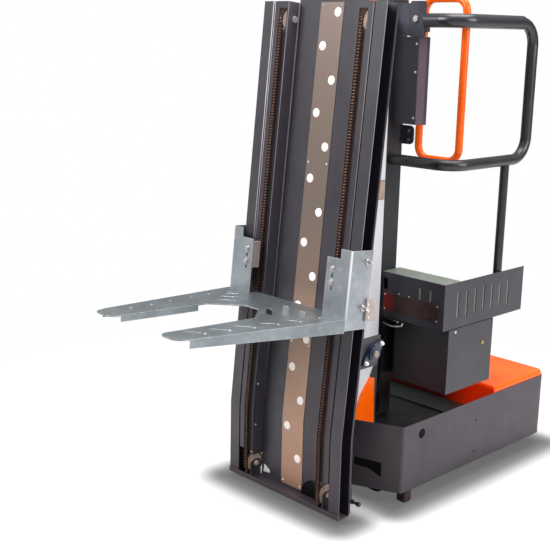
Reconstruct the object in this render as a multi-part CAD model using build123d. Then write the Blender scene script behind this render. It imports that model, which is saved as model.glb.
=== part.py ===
from build123d import *
from math import asin, atan2, cos, hypot, pi, radians, sin, tan
import os

# An order picker, in millimetres. Z is up and the floor is z = 0. The forks point to -Y.
# Here y = 0 is the lower front face of the fork mast and x = 0 is the middle of the machine.

# Fork mast panel: s runs up its front face from the bottom edge, n points out in front of it
PANEL_HALF = 350.0
PANEL_DEPTH = 66.0
PANEL_BOTTOM = 25.0
PANEL_S = 2169.0
WEB_S = 2190.0
KINK_S = 352.0
KINK_Z = PANEL_BOTTOM + KINK_S
LEAN = radians(5.5)
FOOT_PLATE = 4.0
FOOT_LIP = 22.0
CHANNEL_IN = 290.0
CHANNEL_WALL = 4.0
STRIP_IN = 197.0
STRIP_OUT = 272.0
STRIP_LOW = 143.0
WALL_LOW = 123.0
STAY_HALF = 336.0
SHEET = 3.0
BELT_HALF = 66.0
BUTTON_R = 15.5
BUTTON_X = 35.0
BUTTON_S = 2131.0
BUTTON_PITCH = 140.5
BUTTON_COUNT = 15

# Roller chain, 12.7 mm pitch, and its sprockets
PITCH = 12.7
TEETH = 24
CHAIN_X = 231.0
PLATE_HALF = 5.9
PLATE_IN = 4.4
PLATE_OUT = 8.5
ROLLER_R = 4.25
SPROCKET_R = PITCH / (2 * sin(pi / TEETH))
SPROCKET_BACK = 39.0
CHAIN_N = SPROCKET_R - SPROCKET_BACK
TOP_S = 2096.0
BOTTOM_S = 72.0
KINK_R = 300.0
SHAFT_Y = 188.0
SHAFT_Z = 737.0
SHAFT_R = 15.0
SHOE_Y = 165.0
SHOE_Z = 630.0
SHOE_R = 30.0
AXLE_R = 10.0
RUN = 0.05

# Fork carriage and folded fork deck: d runs forward from the panel, in the plane of the deck
SIDE_IN = 354.0
SIDE_OUT = 358.0
CARRIAGE_N = 62.0
CARRIAGE_BACK = 69.0
CARRIAGE_TOP = 1177.0
CARRIAGE_STEP = 1135.0
CARRIAGE_LOW = 846.0
BRACKET_IN = 225.0
ROLLER_N = -33.0
WHEEL_R = 28.5
ROLLER_S = (1131.0, 937.0)
DECK_S = 897.0
DECK_RISE = radians(3.35)
DECK_THICK = 5.0
FORK_END = 808.0
FORK_TIP = 862.0

# Operator mast, platform and chassis
MAST_HALF = 125.0
MAST_FRONT = 327.0
MAST_BACK = 477.0
MAST_WALL = 8.0
MAST_TOP = 2150.0
CYL_Y = 402.0
POST_HALF = 50.0
POST_FRONT = 570.0
POST_BACK = 673.0
POST_TOP = 2205.0
BASE_HALF = 404.0
BASE_FRONT = 257.0
BASE_NOSE = 189.0
BASE_CORNER = 350.0
BASE_BACK = 1480.0
SIDE_HOLE_R = 23.0
BASE_LOW = 60.0
BASE_TOP = 374.0
DECK_TOP = 262.0
TRAY_HALF = 421.0
TRAY_FRONT = 566.0
TRAY_BACK = 1180.0
TRAY_LOW = 775.0
TRAY_TOP = 988.0
BOX_HALF = 416.0
BOX_FRONT = 624.0
BOX_NOTCH = 100.0
BOX_BACK = 960.0
BOX_LOW = 467.0
RAIL_R = 25.0
SLEEVE_R = 30.0
RAIL_X = 396.0
RAIL_Y = 600.0
RAIL_Z = (1505.0, 2117.0)
RAIL_BACK = 1150.0
GATE_R = 17.0
GATE_Y = 700.0
GATE_X = (124.0, 349.0)
GATE_Z = (1512.0, 2211.0)
GATE_BEND = 58.0
CASTER_X = 225.0
CASTER_Y = 440.0
CASTER_TRAIL = 35.0
CASTER_R = 75.0
DRIVE_X = 300.0
DRIVE_Y = 1250.0
DRIVE_R = 115.0


def block(x0, x1, y0, y1, z0, z1):
    """A box between two corners."""
    place = Pos((x0 + x1) / 2, (y0 + y1) / 2, (z0 + z1) / 2)
    return place * Box(x1 - x0, y1 - y0, z1 - z0)


def rod_x(x0, x1, y, z, r):
    """A round bar along X."""
    return Pos((x0 + x1) / 2, y, z) * Rot(0, 90, 0) * Cylinder(r, x1 - x0)


def rod_y(x, y0, y1, z, r):
    """A round bar along Y."""
    return Pos(x, (y0 + y1) / 2, z) * Rot(90, 0, 0) * Cylinder(r, y1 - y0)


def rod_z(x, y, z0, z1, r):
    """A round bar along Z."""
    return Pos(x, y, (z0 + z1) / 2) * Cylinder(r, z1 - z0)


def side_plate(points, x0, x1):
    """A plate drawn in side view (y, z) and given a thickness along X."""
    face = Plane.YZ * Polygon(*points, align=None)
    return Pos(x0, 0, 0) * extrude(face, x1 - x0, dir=(1, 0, 0))


def front_plate(points, y0, y1):
    """A plate drawn in front view (x, z) and given a thickness along Y."""
    face = Plane.XZ * Polygon(*points, align=None)
    return Pos(0, y0, 0) * extrude(face, y1 - y0, dir=(0, 1, 0))


def join(shapes):
    """Fuse a list of shapes into one."""
    body = shapes[0]
    for shape in shapes[1:]:
        body = body + shape
    return body


def mirrored(shapes):
    """The shapes with their copies on the other side of the machine."""
    return list(shapes) + [mirror(shape, about=Plane.YZ) for shape in shapes]


def save(name, shapes):
    """Write one node, which may hold several solids."""
    solids = []
    for shape in shapes:
        solids.extend(shape.solids())
    solids = [Pos(0, -ORIGIN_Y, 0) * solid for solid in solids]
    whole = Compound(children=solids) if len(solids) > 1 else solids[0]
    export_step(whole, os.path.join("parts", name + ".step"))


def panel_yz(s, depth):
    """Side-view point at height s of the panel, a depth behind its front face."""
    if s <= KINK_S:
        return (depth, PANEL_BOTTOM + s)
    up = s - KINK_S
    return (up * sin(LEAN) + depth * cos(LEAN), KINK_Z + up * cos(LEAN) - depth * sin(LEAN))


def panel_spot(x, s, n):
    """A plane on the panel: its X runs across, its Y up the panel and its Z out in front."""
    y, z = panel_yz(s, -n)
    tilt = LEAN if s > KINK_S else 0.0
    return Plane(origin=(x, y, z), x_dir=(1, 0, 0), z_dir=(0, -cos(tilt), sin(tilt)))


def panel_box(x0, x1, s0, s1, n0, n1):
    """A box that lies square to the panel."""
    spot = panel_spot((x0 + x1) / 2, (s0 + s1) / 2, (n0 + n1) / 2)
    return spot * Box(x1 - x0, s1 - s0, n1 - n0)


def folded(x0, x1, near, far, s0=FOOT_PLATE, s1=PANEL_S):
    """The two halves of a plate that follows the panel, below and above its kink."""
    bend_near = (near, KINK_Z - near * tan(LEAN / 2))
    bend_far = (far, KINK_Z - far * tan(LEAN / 2))
    low = side_plate([panel_yz(s0, near), bend_near, bend_far, panel_yz(s0, far)], x0, x1)
    high = side_plate([bend_near, panel_yz(s1, near), panel_yz(s1, far), bend_far], x0, x1)
    return [low, high]


def belt_face(circles, offset):
    """The area inside a belt round circles (y, z, radius), moved out by an offset.
    A negative radius is a roller that presses on the belt from outside."""
    count = len(circles)
    radii = [circle[2] + offset for circle in circles]
    heading = []
    for i in range(count):
        y0, z0 = circles[i][:2]
        y1, z1 = circles[(i + 1) % count][:2]
        slip = (radii[i] - radii[(i + 1) % count]) / hypot(y1 - y0, z1 - z0)
        heading.append(atan2(z1 - z0, y1 - y0) - asin(slip))

    def contact(i, angle):
        return (circles[i][0] - radii[i] * sin(angle), circles[i][1] + radii[i] * cos(angle))

    edges = []
    for i in range(count):
        start = heading[i - 1]
        turn = (heading[i] - start) % (2 * pi)
        if radii[i] > 0:
            turn -= 2 * pi
        edges.append(ThreePointArc(*[contact(i, start + turn * k / 2) for k in range(3)]))
        edges.append(Line(contact(i, heading[i]), contact((i + 1) % count, heading[i])))
    return Plane.YZ * Face(Wire(edges))


def roller_row(count):
    """Side view of a row of chain rollers, a ridge for each, rising along local Y."""
    points = []
    for i in range(count):
        base = i * PITCH
        points += [(-2.0, base), (-2.0, base + 2.1), (ROLLER_R, base + 2.1)]
        points += [(ROLLER_R, base + 2.1 + 2 * ROLLER_R), (-2.0, base + 2.1 + 2 * ROLLER_R)]
    points += [(-2.0, count * PITCH), (-3.5, count * PITCH), (-3.5, 0.0)]
    return Polygon(*points, align=None)


def chain_rollers(x, s, count):
    """A straight row of rollers between the chain's side plates, from height s upwards."""
    spot = panel_spot(x - PLATE_IN, s, CHAIN_N)
    row = Plane(origin=spot.origin, x_dir=spot.z_dir, z_dir=-spot.x_dir) * roller_row(count)
    return extrude(row, 2 * PLATE_IN, dir=(1, 0, 0))


def chain(x):
    """Both side-plate loops of a chain, and its rollers on the two front strands."""
    circles = [bottom_circle, kink_circle, top_circle, drive_circle, shoe_circle]
    outside = belt_face(circles, PLATE_HALF)
    inside = belt_face(circles, -PLATE_HALF)
    loop = extrude(outside, PLATE_OUT - PLATE_IN, dir=(1, 0, 0))
    loop -= extrude(inside, PLATE_OUT - PLATE_IN, dir=(1, 0, 0))
    pieces = [Pos(x - PLATE_OUT, 0, 0) * loop, Pos(x + PLATE_IN, 0, 0) * loop]
    pieces.append(chain_rollers(x, 135.0, 16))
    pieces.append(chain_rollers(x, 372.0, 132))
    return pieces


def sprocket(x, y, z, bore, hub_r, hub_half):
    """A 24-tooth sprocket with a hub, its axis along X."""
    step = 2 * pi / TEETH
    points = []
    for i in range(TEETH):
        for part, r in ((-0.30, -ROLLER_R), (-0.11, 3.6), (0.11, 3.6), (0.30, -ROLLER_R)):
            angle = (i + part) * step
            points.append(((SPROCKET_R + r) * cos(angle), (SPROCKET_R + r) * sin(angle)))
    wheel = extrude(Plane.YZ * Polygon(*points, align=None), 3.5, both=True)
    wheel += rod_x(-hub_half, hub_half, 0, 0, hub_r)
    wheel -= rod_x(-hub_half, hub_half, 0, 0, bore)
    return Pos(x, y, z) * wheel


def hex_head(r, height):
    """A chamfered bolt head standing on local Z = 0."""
    head = extrude(RegularPolygon(r, 6), height)
    return head & Cone(r * 1.25, r * 0.88, height, align=(Align.CENTER, Align.CENTER, Align.MIN))


def pipe(path, radius, wall):
    """A bent tube along a path."""
    ring = Circle(radius) - Circle(radius - wall)
    return sweep(Plane(origin=path @ 0, z_dir=path % 0) * ring, path=path)


def tubes(points, radius, bend, wall, close=False):
    """The straight lengths and bends of a tube along corner points."""
    path = FilletPolyline(*points, radius=bend, close=close)
    return [pipe(edge, radius, wall) for edge in path.edges()]


os.makedirs("parts", exist_ok=True)

# Nodes are saved with the origin on the floor, under the middle of the overall length
deck_y, deck_z = panel_yz(DECK_S, 0)
fork_end_y = deck_y - FORK_TIP * cos(DECK_RISE) - DECK_THICK * sin(DECK_RISE)
ORIGIN_Y = (BASE_BACK + fork_end_y) / 2

bottom_circle = (*panel_yz(BOTTOM_S, SPROCKET_BACK), SPROCKET_R)
top_circle = (*panel_yz(TOP_S, SPROCKET_BACK), SPROCKET_R)
kink_depth = KINK_R - CHAIN_N
kink_circle = (kink_depth, KINK_Z - kink_depth * tan(LEAN / 2), KINK_R)
drive_circle = (SHAFT_Y, SHAFT_Z, SPROCKET_R)
shoe_circle = (SHOE_Y, SHOE_Z, -SHOE_R)

# Hat-section panel: web at the back, recess walls, and chain strips in front with turned edges
web_low, web_high = folded(-STRIP_IN, STRIP_IN, PANEL_DEPTH - SHEET, PANEL_DEPTH, s1=WEB_S)
web_low -= rod_y(150, 62, 67, 29, 90)
web_low -= front_plate([(-183, 97), (-144, 74), (-144, 59), (-189, 54)], 62, 67)
strip_low, strip_high = folded(STRIP_IN, STRIP_OUT, 0, SHEET, s0=STRIP_LOW)
strip_high -= panel_box(CHAIN_X - 23, CHAIN_X + 23, 2051, 2141, -4, 1)
wall_low, wall_high = folded(STRIP_IN, STRIP_IN + SHEET, SHEET, PANEL_DEPTH, s0=WALL_LOW)
wall_high -= rod_x(STRIP_IN - 5, STRIP_IN + 5, top_circle[0], top_circle[1], AXLE_R + RUN)
turned = folded(STRIP_OUT - SHEET, STRIP_OUT, SHEET, 20.0, s0=STRIP_LOW)
hat = mirrored([strip_low, strip_high, wall_low, wall_high] + turned)
save("fork_panel", [web_low, web_high] + hat)

# Outward-open roller channels
channel = folded(CHANNEL_IN, PANEL_HALF, 0, CHANNEL_WALL)
channel += folded(CHANNEL_IN, PANEL_HALF, PANEL_DEPTH - CHANNEL_WALL, PANEL_DEPTH)
channel += folded(CHANNEL_IN, CHANNEL_IN + CHANNEL_WALL, CHANNEL_WALL, PANEL_DEPTH - CHANNEL_WALL)
save("roller_channels", mirrored(channel))

foot = block(-PANEL_HALF, PANEL_HALF, 0, PANEL_DEPTH, PANEL_BOTTOM, PANEL_BOTTOM + FOOT_PLATE)
foot += block(-PANEL_HALF, PANEL_HALF, -5, 0, PANEL_BOTTOM, PANEL_BOTTOM + FOOT_LIP)
save("panel_foot", [foot])

# Stainless strip, its glide buttons and screws
belt_low, belt_high = folded(-BELT_HALF, BELT_HALF, PANEL_DEPTH - SHEET - 2, PANEL_DEPTH - SHEET, 20, 2172)
belt_low = fillet(belt_low.edges().filter_by(Axis.Y).group_by(Axis.Z)[0], 10)
save("centre_strip", [belt_low, belt_high])
belt_n = SHEET + 2 - PANEL_DEPTH
buttons = []
for i in range(BUTTON_COUNT):
    across = BUTTON_X if i % 2 == 0 else -BUTTON_X
    spot = panel_spot(across, BUTTON_S - i * BUTTON_PITCH, belt_n)
    cap = Cylinder(BUTTON_R, 4, align=(Align.CENTER, Align.CENTER, Align.MIN))
    buttons.append(spot * chamfer(cap.edges().group_by(Axis.Z)[-1], 1.2))
save("glide_buttons", buttons)
screws = []
for s in (2159, 1498, 700, 36):
    for across in (-54, 54):
        dome = Cone(4.5, 3.0, 2, align=(Align.CENTER, Align.CENTER, Align.MIN))
        screws.append(panel_spot(across, s, belt_n) * dome)

for s in (271, 468, 1180, 1890):
    for sign in (1, -1):
        rivet = Cone(4.5, 3.0, 2, align=(Align.CENTER, Align.CENTER, Align.MIN))
        y, z = panel_yz(s, 17)
        screws.append(Plane(origin=(sign * STRIP_IN, y, z), z_dir=(-sign, 0, 0)) * rivet)

# Stays behind the panel, the ties to the operator mast, and a tab with its thumb screw
stays = []
for s0, s1 in ((160, 215), (1345, 1415), (1955, 2015)):
    stays.append(panel_box(-STAY_HALF, STAY_HALF, s0, s1, -PANEL_DEPTH - 5, -PANEL_DEPTH))
stay_back = PANEL_DEPTH + 5
low_tie = side_plate(
    [panel_yz(160, stay_back), panel_yz(215, stay_back), (330, 240), (330, 185)], 92, 100)
high_tie = side_plate(
    [panel_yz(1347, stay_back), panel_yz(1413, stay_back), (MAST_FRONT, 1424), (MAST_FRONT, 1346)], 92, 100)
stays += mirrored([high_tie])
clamp = block(-MAST_HALF - 3, MAST_HALF + 3, MAST_FRONT - 3, MAST_FRONT, 1342, 1428)
clamp -= block(-106, 106, MAST_FRONT - 3, MAST_FRONT, 1342, 1428)
stays += clamp.solids()
stays += mirrored([block(MAST_HALF, MAST_HALF + 3, MAST_FRONT, MAST_BACK - 6, 1342, 1428)])
tab = side_plate(
    [(PANEL_DEPTH, 82), (PANEL_DEPTH, 166), (98, 166), (104, 140), (104, 70), (92, 70)], 322, 330)
stays += mirrored([tab])
thumbs = []
for sign in (1, -1):
    thumb = Cylinder(6, 52, align=(Align.CENTER, Align.CENTER, Align.MIN))
    thumb += Pos(0, 0, 8) * Cylinder(11, 5, align=(Align.CENTER, Align.CENTER, Align.MIN))
    thumb += Pos(0, 0, 38) * Cylinder(10, 14, align=(Align.CENTER, Align.CENTER, Align.MIN))
    thumbs.append(Plane(origin=(sign * 330, 97, 80), z_dir=(sign, 0, 0)) * thumb)

# Bearing plates behind the channels, flange bearings, drive shaft and lift gearmotor
bearing_plate = side_plate(
    [panel_yz(657, PANEL_DEPTH), panel_yz(789, PANEL_DEPTH), (244, 806), (228, 674)], 325, 335)
bearing_plate -= rod_x(320, 340, SHAFT_Y, SHAFT_Z, SHAFT_R + 3)
stays += mirrored([bearing_plate])

ear = (48.0, 35.0)
flange = make_hull((Circle(36) + Pos(*ear) * Circle(15) + Pos(-ear[0], -ear[1]) * Circle(15)).edges())
bearing = extrude(flange, 12) + extrude(Circle(33), 22) + extrude(Circle(24), 26)
bearing -= extrude(Circle(SHAFT_R + RUN), 30)
bearing = Plane(origin=(335, SHAFT_Y, SHAFT_Z), x_dir=(0, 1, 0), z_dir=(1, 0, 0)) * bearing
save("flange_bearings", mirrored([bearing]))
for sign in (1, -1):
    for across, up in (ear, (-ear[0], -ear[1])):
        bolt = hex_head(10, 8) + Pos(0, 0, 8) * Cylinder(5, 6, align=(Align.CENTER, Align.CENTER, Align.MIN))
        place = Plane(origin=(sign * 347, SHAFT_Y + across, SHAFT_Z + up), z_dir=(sign, 0, 0))
        screws.append(place * bolt)

shaft = rod_x(-366, 366, SHAFT_Y, SHAFT_Z, SHAFT_R)
shaft = chamfer(shaft.edges().filter_by(GeomType.CIRCLE), 2)
turning = [shaft]
for side in (1, -1):
    turning.append(sprocket(side * CHAIN_X, SHAFT_Y, SHAFT_Z, SHAFT_R, 28, 16))
save("drive_shaft", turning)

gearbox = panel_box(-62, 62, 650, 780, -PANEL_DEPTH - 150, -PANEL_DEPTH)
gearbox = chamfer(gearbox.edges().filter_by(Axis.X), 14)
motor = panel_spot(0, 900, -PANEL_DEPTH - 82) * Rot(90, 0, 0) * Cylinder(56, 240)
cap = panel_spot(0, 1035, -PANEL_DEPTH - 82) * Rot(90, 0, 0) * Cylinder(50, 30)
gearmotor = gearbox + motor + cap
gearmotor -= rod_x(-70, 70, SHAFT_Y, SHAFT_Z, SHAFT_R + 0.3)
save("lift_gearmotor", [gearmotor])

# Chains, tension shoes, idler sprockets, and what carries them
save("chain_left", chain(-CHAIN_X))
save("chain_right", chain(CHAIN_X))
shoe = rod_x(CHAIN_X - 22, CHAIN_X + 9, SHOE_Y, SHOE_Z, SHOE_R - PLATE_HALF)
shoe_s = KINK_S + SHOE_Y * sin(LEAN) + (SHOE_Z - KINK_Z) * cos(LEAN)
shoe_n = (SHOE_Z - KINK_Z) * sin(LEAN) - SHOE_Y * cos(LEAN)
shoe += panel_box(CHAIN_X - 22, CHAIN_X - 12, shoe_s - 18, shoe_s + 18, shoe_n, -SHEET)
guard = block(55, STRIP_IN, PANEL_DEPTH, PANEL_DEPTH + 3, PANEL_BOTTOM + FOOT_PLATE, 128)
liner = block(CHANNEL_IN - 1.5, CHANNEL_IN, 0, PANEL_DEPTH, PANEL_BOTTOM + FOOT_PLATE, PANEL_BOTTOM + STRIP_LOW)
save("chain_shoes", mirrored([shoe, liner]) + [guard])

for name, circle in (("top_sprockets", top_circle), ("bottom_sprockets", bottom_circle)):
    save(name, [sprocket(side * CHAIN_X, circle[0], circle[1], AXLE_R + RUN, 20, 11) for side in (1, -1)])

axle_y, axle_z = bottom_circle[:2]
lug_y0, lug_y1 = axle_y - 31, axle_y + 31
lug = block(CHAIN_X - 18, CHAIN_X - 12, lug_y0, lug_y1, 35, axle_z + 17)
lug = fillet(lug.edges().filter_by(Axis.X).group_by(Axis.Z)[-1], 22)
lug -= rod_x(CHAIN_X - 20, CHAIN_X - 10, axle_y, axle_z, AXLE_R + RUN)
clevis = [lug, Pos(30, 0, 0) * lug]
clevis.append(block(CHAIN_X - 28, CHAIN_X + 28, lug_y0, lug_y1, PANEL_BOTTOM + FOOT_PLATE, 35))
save("sprocket_mounts", mirrored(clevis) + thumbs)
low_axle = rod_x(CHAIN_X - 18, CHAIN_X + 18, axle_y, axle_z, AXLE_R)
low_axle += Plane(origin=(CHAIN_X + 18, axle_y, axle_z), z_dir=(1, 0, 0)) * hex_head(13, 7)
low_axle += Plane(origin=(CHAIN_X - 18, axle_y, axle_z), z_dir=(-1, 0, 0)) * hex_head(13, 7)
high_axle = rod_x(STRIP_IN, CHANNEL_IN, top_circle[0], top_circle[1], AXLE_R)
high_axle += Plane(origin=(STRIP_IN, top_circle[0], top_circle[1]), z_dir=(-1, 0, 0)) * hex_head(15, 9)
save("panel_screws", screws + mirrored([low_axle, high_axle]))

# Fork carriage: angle brackets, bolts and axles, chain anchors and rollers
deck_plane = Plane(origin=(0, deck_y, deck_z), x_dir=(1, 0, 0), z_dir=(0, sin(DECK_RISE), cos(DECK_RISE)))
face_plate = panel_box(BRACKET_IN, SIDE_OUT, DECK_S - 20, CARRIAGE_STEP, CARRIAGE_N - 4, CARRIAGE_N)
face_plate += panel_box(298, SIDE_OUT, CARRIAGE_STEP, CARRIAGE_TOP, CARRIAGE_N - 4, CARRIAGE_N)
for s in (1059, 1005):
    face_plate -= panel_spot(260, s, CARRIAGE_N - 10) * extrude(SlotOverall(18, 9, rotation=90), 20)
face_plate -= deck_plane * Pos(0, 0, -50) * Box(900, 900, 100)
wing = panel_box(SIDE_IN, SIDE_OUT, CARRIAGE_LOW, CARRIAGE_TOP, -CARRIAGE_BACK, CARRIAGE_N)
for s in ROLLER_S:
    wing -= panel_spot(SIDE_IN, s, ROLLER_N) * Rot(0, 90, 0) * Cylinder(AXLE_R + RUN, 20)
angle = face_plate + wing
bend = [e for e in angle.edges() if e.length > 150 and abs(e.center().X - SIDE_OUT) < 0.1]
angle = fillet(sorted(bend, key=lambda e: e.center().Y)[0], 6)
save("carriage_brackets", mirrored([angle]))

bolts = []
for s in (1087, 1032):
    washer = Cylinder(14, 2, align=(Align.CENTER, Align.CENTER, Align.MIN))
    bolts.append(panel_spot(260, s, CARRIAGE_N) * (washer + Pos(0, 0, 2) * hex_head(11, 8)))
for s in ROLLER_S:
    spot = panel_spot(0, s, ROLLER_N)
    pin = spot * Pos(329, 0, 0) * Rot(0, 90, 0) * Cylinder(AXLE_R, 58)
    pin += spot * Pos(SIDE_OUT, 0, 0) * Rot(0, 90, 0) * hex_head(14, 8)
    pin += spot * Pos(348, 0, 0) * Rot(0, 90, 0) * Cylinder(15, 12)
    pin += spot * Pos(SIDE_OUT + 19, 0, 0) * Rot(0, 90, 0) * Cylinder(8, 22)
    bolts.append(pin)
for s, depth in ((952, 55), (924, 59.5), (896, 64)):
    bolts.append(panel_spot(SIDE_OUT + 9, s, -depth) * Rot(0, 90, 0) * hex_head(6.5, 5))
save("carriage_bolts", mirrored(bolts))
anchor = panel_box(CHAIN_X - 6, CHAIN_X + 13, 1006, 1122, CHAIN_N + PLATE_HALF + 0.6, CARRIAGE_N - 4)
anchor -= panel_box(CHAIN_X + 3, CHAIN_X + 20, 1030, 1098, 0, CARRIAGE_N - 14)
guide = panel_box(SIDE_OUT, SIDE_OUT + 4, 880, 975, -CARRIAGE_BACK, -50)
guide += panel_box(SIDE_OUT + 4, SIDE_OUT + 9, 880, 975, -113, -50)
save("chain_anchors", mirrored([anchor, guide]))
for name, s in zip(("upper_rollers", "lower_rollers"), ROLLER_S):
    tyre = Cylinder(WHEEL_R, 38) - Cylinder(AXLE_R + RUN, 40)
    tyre = chamfer(tyre.edges().filter_by(GeomType.CIRCLE).sort_by(SortBy.RADIUS)[-2:], 2.5)
    save(name, mirrored([panel_spot(322, s, ROLLER_N) * Rot(0, 90, 0) * tyre]))

# Folded fork deck: tapered tines with turned-down edges and rounded tongues
inner_root = (146, 372)
inner_tip = (149, FORK_END)
outer_root = (358, CARRIAGE_N + 4)
outer_tip = (276.5, FORK_END)


def deck_outline(points):
    """The deck's plate from half an outline (x, d), with its bends rounded."""
    whole = points + [(-x, d) for x, d in reversed(points)]
    return Polygon(*[(x, -d) for x, d in whole], align=None)


def turned_edge(start, end, drop_start, drop_end, inward):
    """A turned-down edge along a line of the deck."""
    length = hypot(end[0] - start[0], end[1] - start[1])
    along = ((end[0] - start[0]) / length, (start[1] - end[1]) / length, 0)
    across = (along[1], -along[0], 0)
    plane = Plane(origin=(start[0], -start[1], 0), x_dir=along, z_dir=across)
    face = plane * Polygon((0, 0), (length, 0), (length, -drop_end), (0, -drop_start), align=None)
    sign = 1 if across[0] * inward > 0 else -1
    return extrude(face, 4, dir=(sign * across[0], sign * across[1], 0))


outline = deck_outline([
    (40, 250), inner_root, inner_tip, (149, FORK_TIP), (268, FORK_TIP), (268, FORK_END), outer_tip,
    outer_root, (SIDE_IN, CARRIAGE_N + 4), (SIDE_IN, CARRIAGE_N + 0.3), (BRACKET_IN - 1, CARRIAGE_N + 0.3),
    (BRACKET_IN - 1, 24)])
inside_bends = [v for v in outline.vertices() if abs(-v.Y - 250) < 1 or abs(-v.Y - 372) < 1]
outline = fillet(inside_bends, 28)
tongue_ends = [v for v in outline.vertices() if abs(-v.Y - FORK_TIP) < 1]
outline = fillet(tongue_ends, 42)
deck = Pos(0, 0, -DECK_THICK) * extrude(outline, DECK_THICK, dir=(0, 0, 1))
edges = [
    turned_edge(outer_root, outer_tip, 57, 35, -1),
    turned_edge((146.4, 420), inner_tip, 28, 28, 1),
]
for edge in mirrored(edges):
    deck += edge
for x, d in ((126, 272), (147, 198), (220, 175)):
    deck += block(x - 11, x + 11, -d - 1.5, -d + 1.5, 0, 16)
for x, d in ((234, 703), (245, 591), (262, 479), (271, 360), (284, 250), (281, 133)):
    for sign in (1, -1):
        deck += Pos(sign * x, -d, 0) * Cone(11, 6, 3, align=(Align.CENTER, Align.CENTER, Align.MIN))
save("fork_deck", [deck_plane * deck])

# Chassis: folded tray with a bowed front, deck, housing and what it carries
plan = Polygon(
    (-BASE_NOSE, BASE_FRONT), (BASE_NOSE, BASE_FRONT), (BASE_HALF, BASE_CORNER), (BASE_HALF, BASE_BACK),
    (-BASE_HALF, BASE_BACK), (-BASE_HALF, BASE_CORNER), align=None)
plan = fillet([v for v in plan.vertices() if v.Y > BASE_BACK - 1], 35)
plan = fillet([v for v in plan.vertices() if abs(v.Y - BASE_CORNER) < 1], 14)
plan_in = offset(plan, -4)
solid_base = Pos(0, 0, BASE_LOW) * extrude(plan, BASE_TOP - BASE_LOW)
wall_ring = solid_base - Pos(0, 0, BASE_LOW) * extrude(plan_in, BASE_TOP - BASE_LOW)
wheel_gap = front_plate([(194, 159), (255, 154), (316, 118), (316, 191), (194, 200)], 240, 345)
nose = wall_ring & block(-BASE_NOSE, BASE_NOSE, 240, 270, BASE_LOW, BASE_TOP)
front = wall_ring & block(BASE_NOSE, 394, 240, 356, BASE_LOW, BASE_TOP)
front_corner = wall_ring & block(394, 410, 335, 362, BASE_LOW, BASE_TOP)
flank = wall_ring & block(390, 410, 362, 1445, BASE_LOW, BASE_TOP)
flank -= rod_x(BASE_HALF - 10, BASE_HALF + 10, 480, 313, SIDE_HOLE_R)
rear_corner = wall_ring & block(369, 410, 1445, 1490, BASE_LOW, BASE_TOP)
rear = wall_ring & block(-369, 369, 1470, 1490, BASE_LOW, BASE_TOP)
near_flank = flank
for y, z in ((895, 271), (892, 113)):
    near_flank -= rod_x(BASE_HALF - 10, BASE_HALF + 10, y, z, 5)
pan = block(4 - BASE_HALF, BASE_HALF - 4, 580, 1080, BASE_LOW, BASE_LOW + 4)
tray = mirrored([front - wheel_gap, front_corner, rear_corner])
tray += [nose, near_flank, mirror(flank, about=Plane.YZ), rear, pan]
save("chassis_tray", tray)
strap_low = side_plate([(462, DECK_TOP), (477, DECK_TOP), (477, 511), (452, 511)], MAST_HALF, MAST_HALF + 4)
strap_high = side_plate([(452, 511), (477, 511), (477, 600), (468, 600), (427, 521)], MAST_HALF, MAST_HALF + 4)
stays += mirrored([low_tie - solid_base, strap_low, strap_high])
save("panel_stays", stays)

floor = Pos(0, 0, DECK_TOP - 8) * extrude(plan_in, 8)
stem_top = 240.0
for side in (1, -1):
    floor += rod_z(side * CASTER_X, CASTER_Y, 166.3, DECK_TOP - 4, 30)
    floor -= rod_z(side * CASTER_X, CASTER_Y, 160, stem_top + 2, 15 + RUN)
save("deck_plate", [floor])
save("battery_cover", [block(-330, 330, 869, 1028, DECK_TOP, DECK_TOP + 8)])
shell = Pos(0, 0, DECK_TOP) * extrude(offset(plan_in, -1), 140)
shell = shell & block(-399, 399, 1036, 1476, DECK_TOP, 402)
hollow = Pos(0, 0, DECK_TOP) * extrude(offset(plan_in, -6), 135)
hollow = hollow & block(-394, 394, 1041, 1471, DECK_TOP, 397)
shell = fillet(shell.edges().group_by(Axis.Z)[-1], 20)
shell -= fillet(hollow.edges().group_by(Axis.Z)[-1], 15)
save("rear_housing", [shell])
cells = [block(-170 + i * 86, -88 + i * 86, 590, 1040, BASE_LOW + 4, 236) for i in range(4)]
save("battery_pack", cells)

gear = rod_x(90, 250, DRIVE_Y, DRIVE_R, 62)
gear += block(100, 200, DRIVE_Y - 55, DRIVE_Y + 55, DRIVE_R, DECK_TOP - 8)
gear += rod_x(250, 345, DRIVE_Y, DRIVE_R, 15)
gear += rod_x(341, 349, DRIVE_Y, DRIVE_R, 26)
save("drive_motors", mirrored([gear]))
wheel = rod_x(-38, 38, 0, 0, DRIVE_R)
wheel = chamfer(wheel.edges().filter_by(GeomType.CIRCLE), 10)
wheel -= rod_x(-40, 40, 0, 0, 15 + RUN)
wheel -= rod_x(20, 40, 0, 0, 70) - rod_x(20, 40, 0, 0, 30)
save("drive_wheel_right", [Pos(DRIVE_X, DRIVE_Y, DRIVE_R) * wheel])
save("drive_wheel_left", [mirror(Pos(DRIVE_X, DRIVE_Y, DRIVE_R) * wheel, about=Plane.YZ)])

foot_pad = block(350, 402, 382, 434, 2, BASE_LOW)
foot_pad = fillet(foot_pad.edges().filter_by(Axis.Z), 12)
foot_pad = fillet(foot_pad.edges().group_by(Axis.Z)[0], 8)
foot_pad += block(362, BASE_HALF - 4, 390, 426, BASE_LOW, 96)
slope = (BASE_CORNER - BASE_FRONT) / (BASE_HALF - BASE_NOSE)
skin_y = BASE_FRONT + 4 * hypot(1, slope)
skirt = Polygon((3, 3 * slope), (137, 137 * slope), (137, 137 * slope + 3), (3, 3 * slope + 3), align=None)
skirt = Pos(BASE_NOSE, skin_y, 104) * extrude(skirt, 108)
save("corner_feet", mirrored([foot_pad, skirt]))

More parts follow.
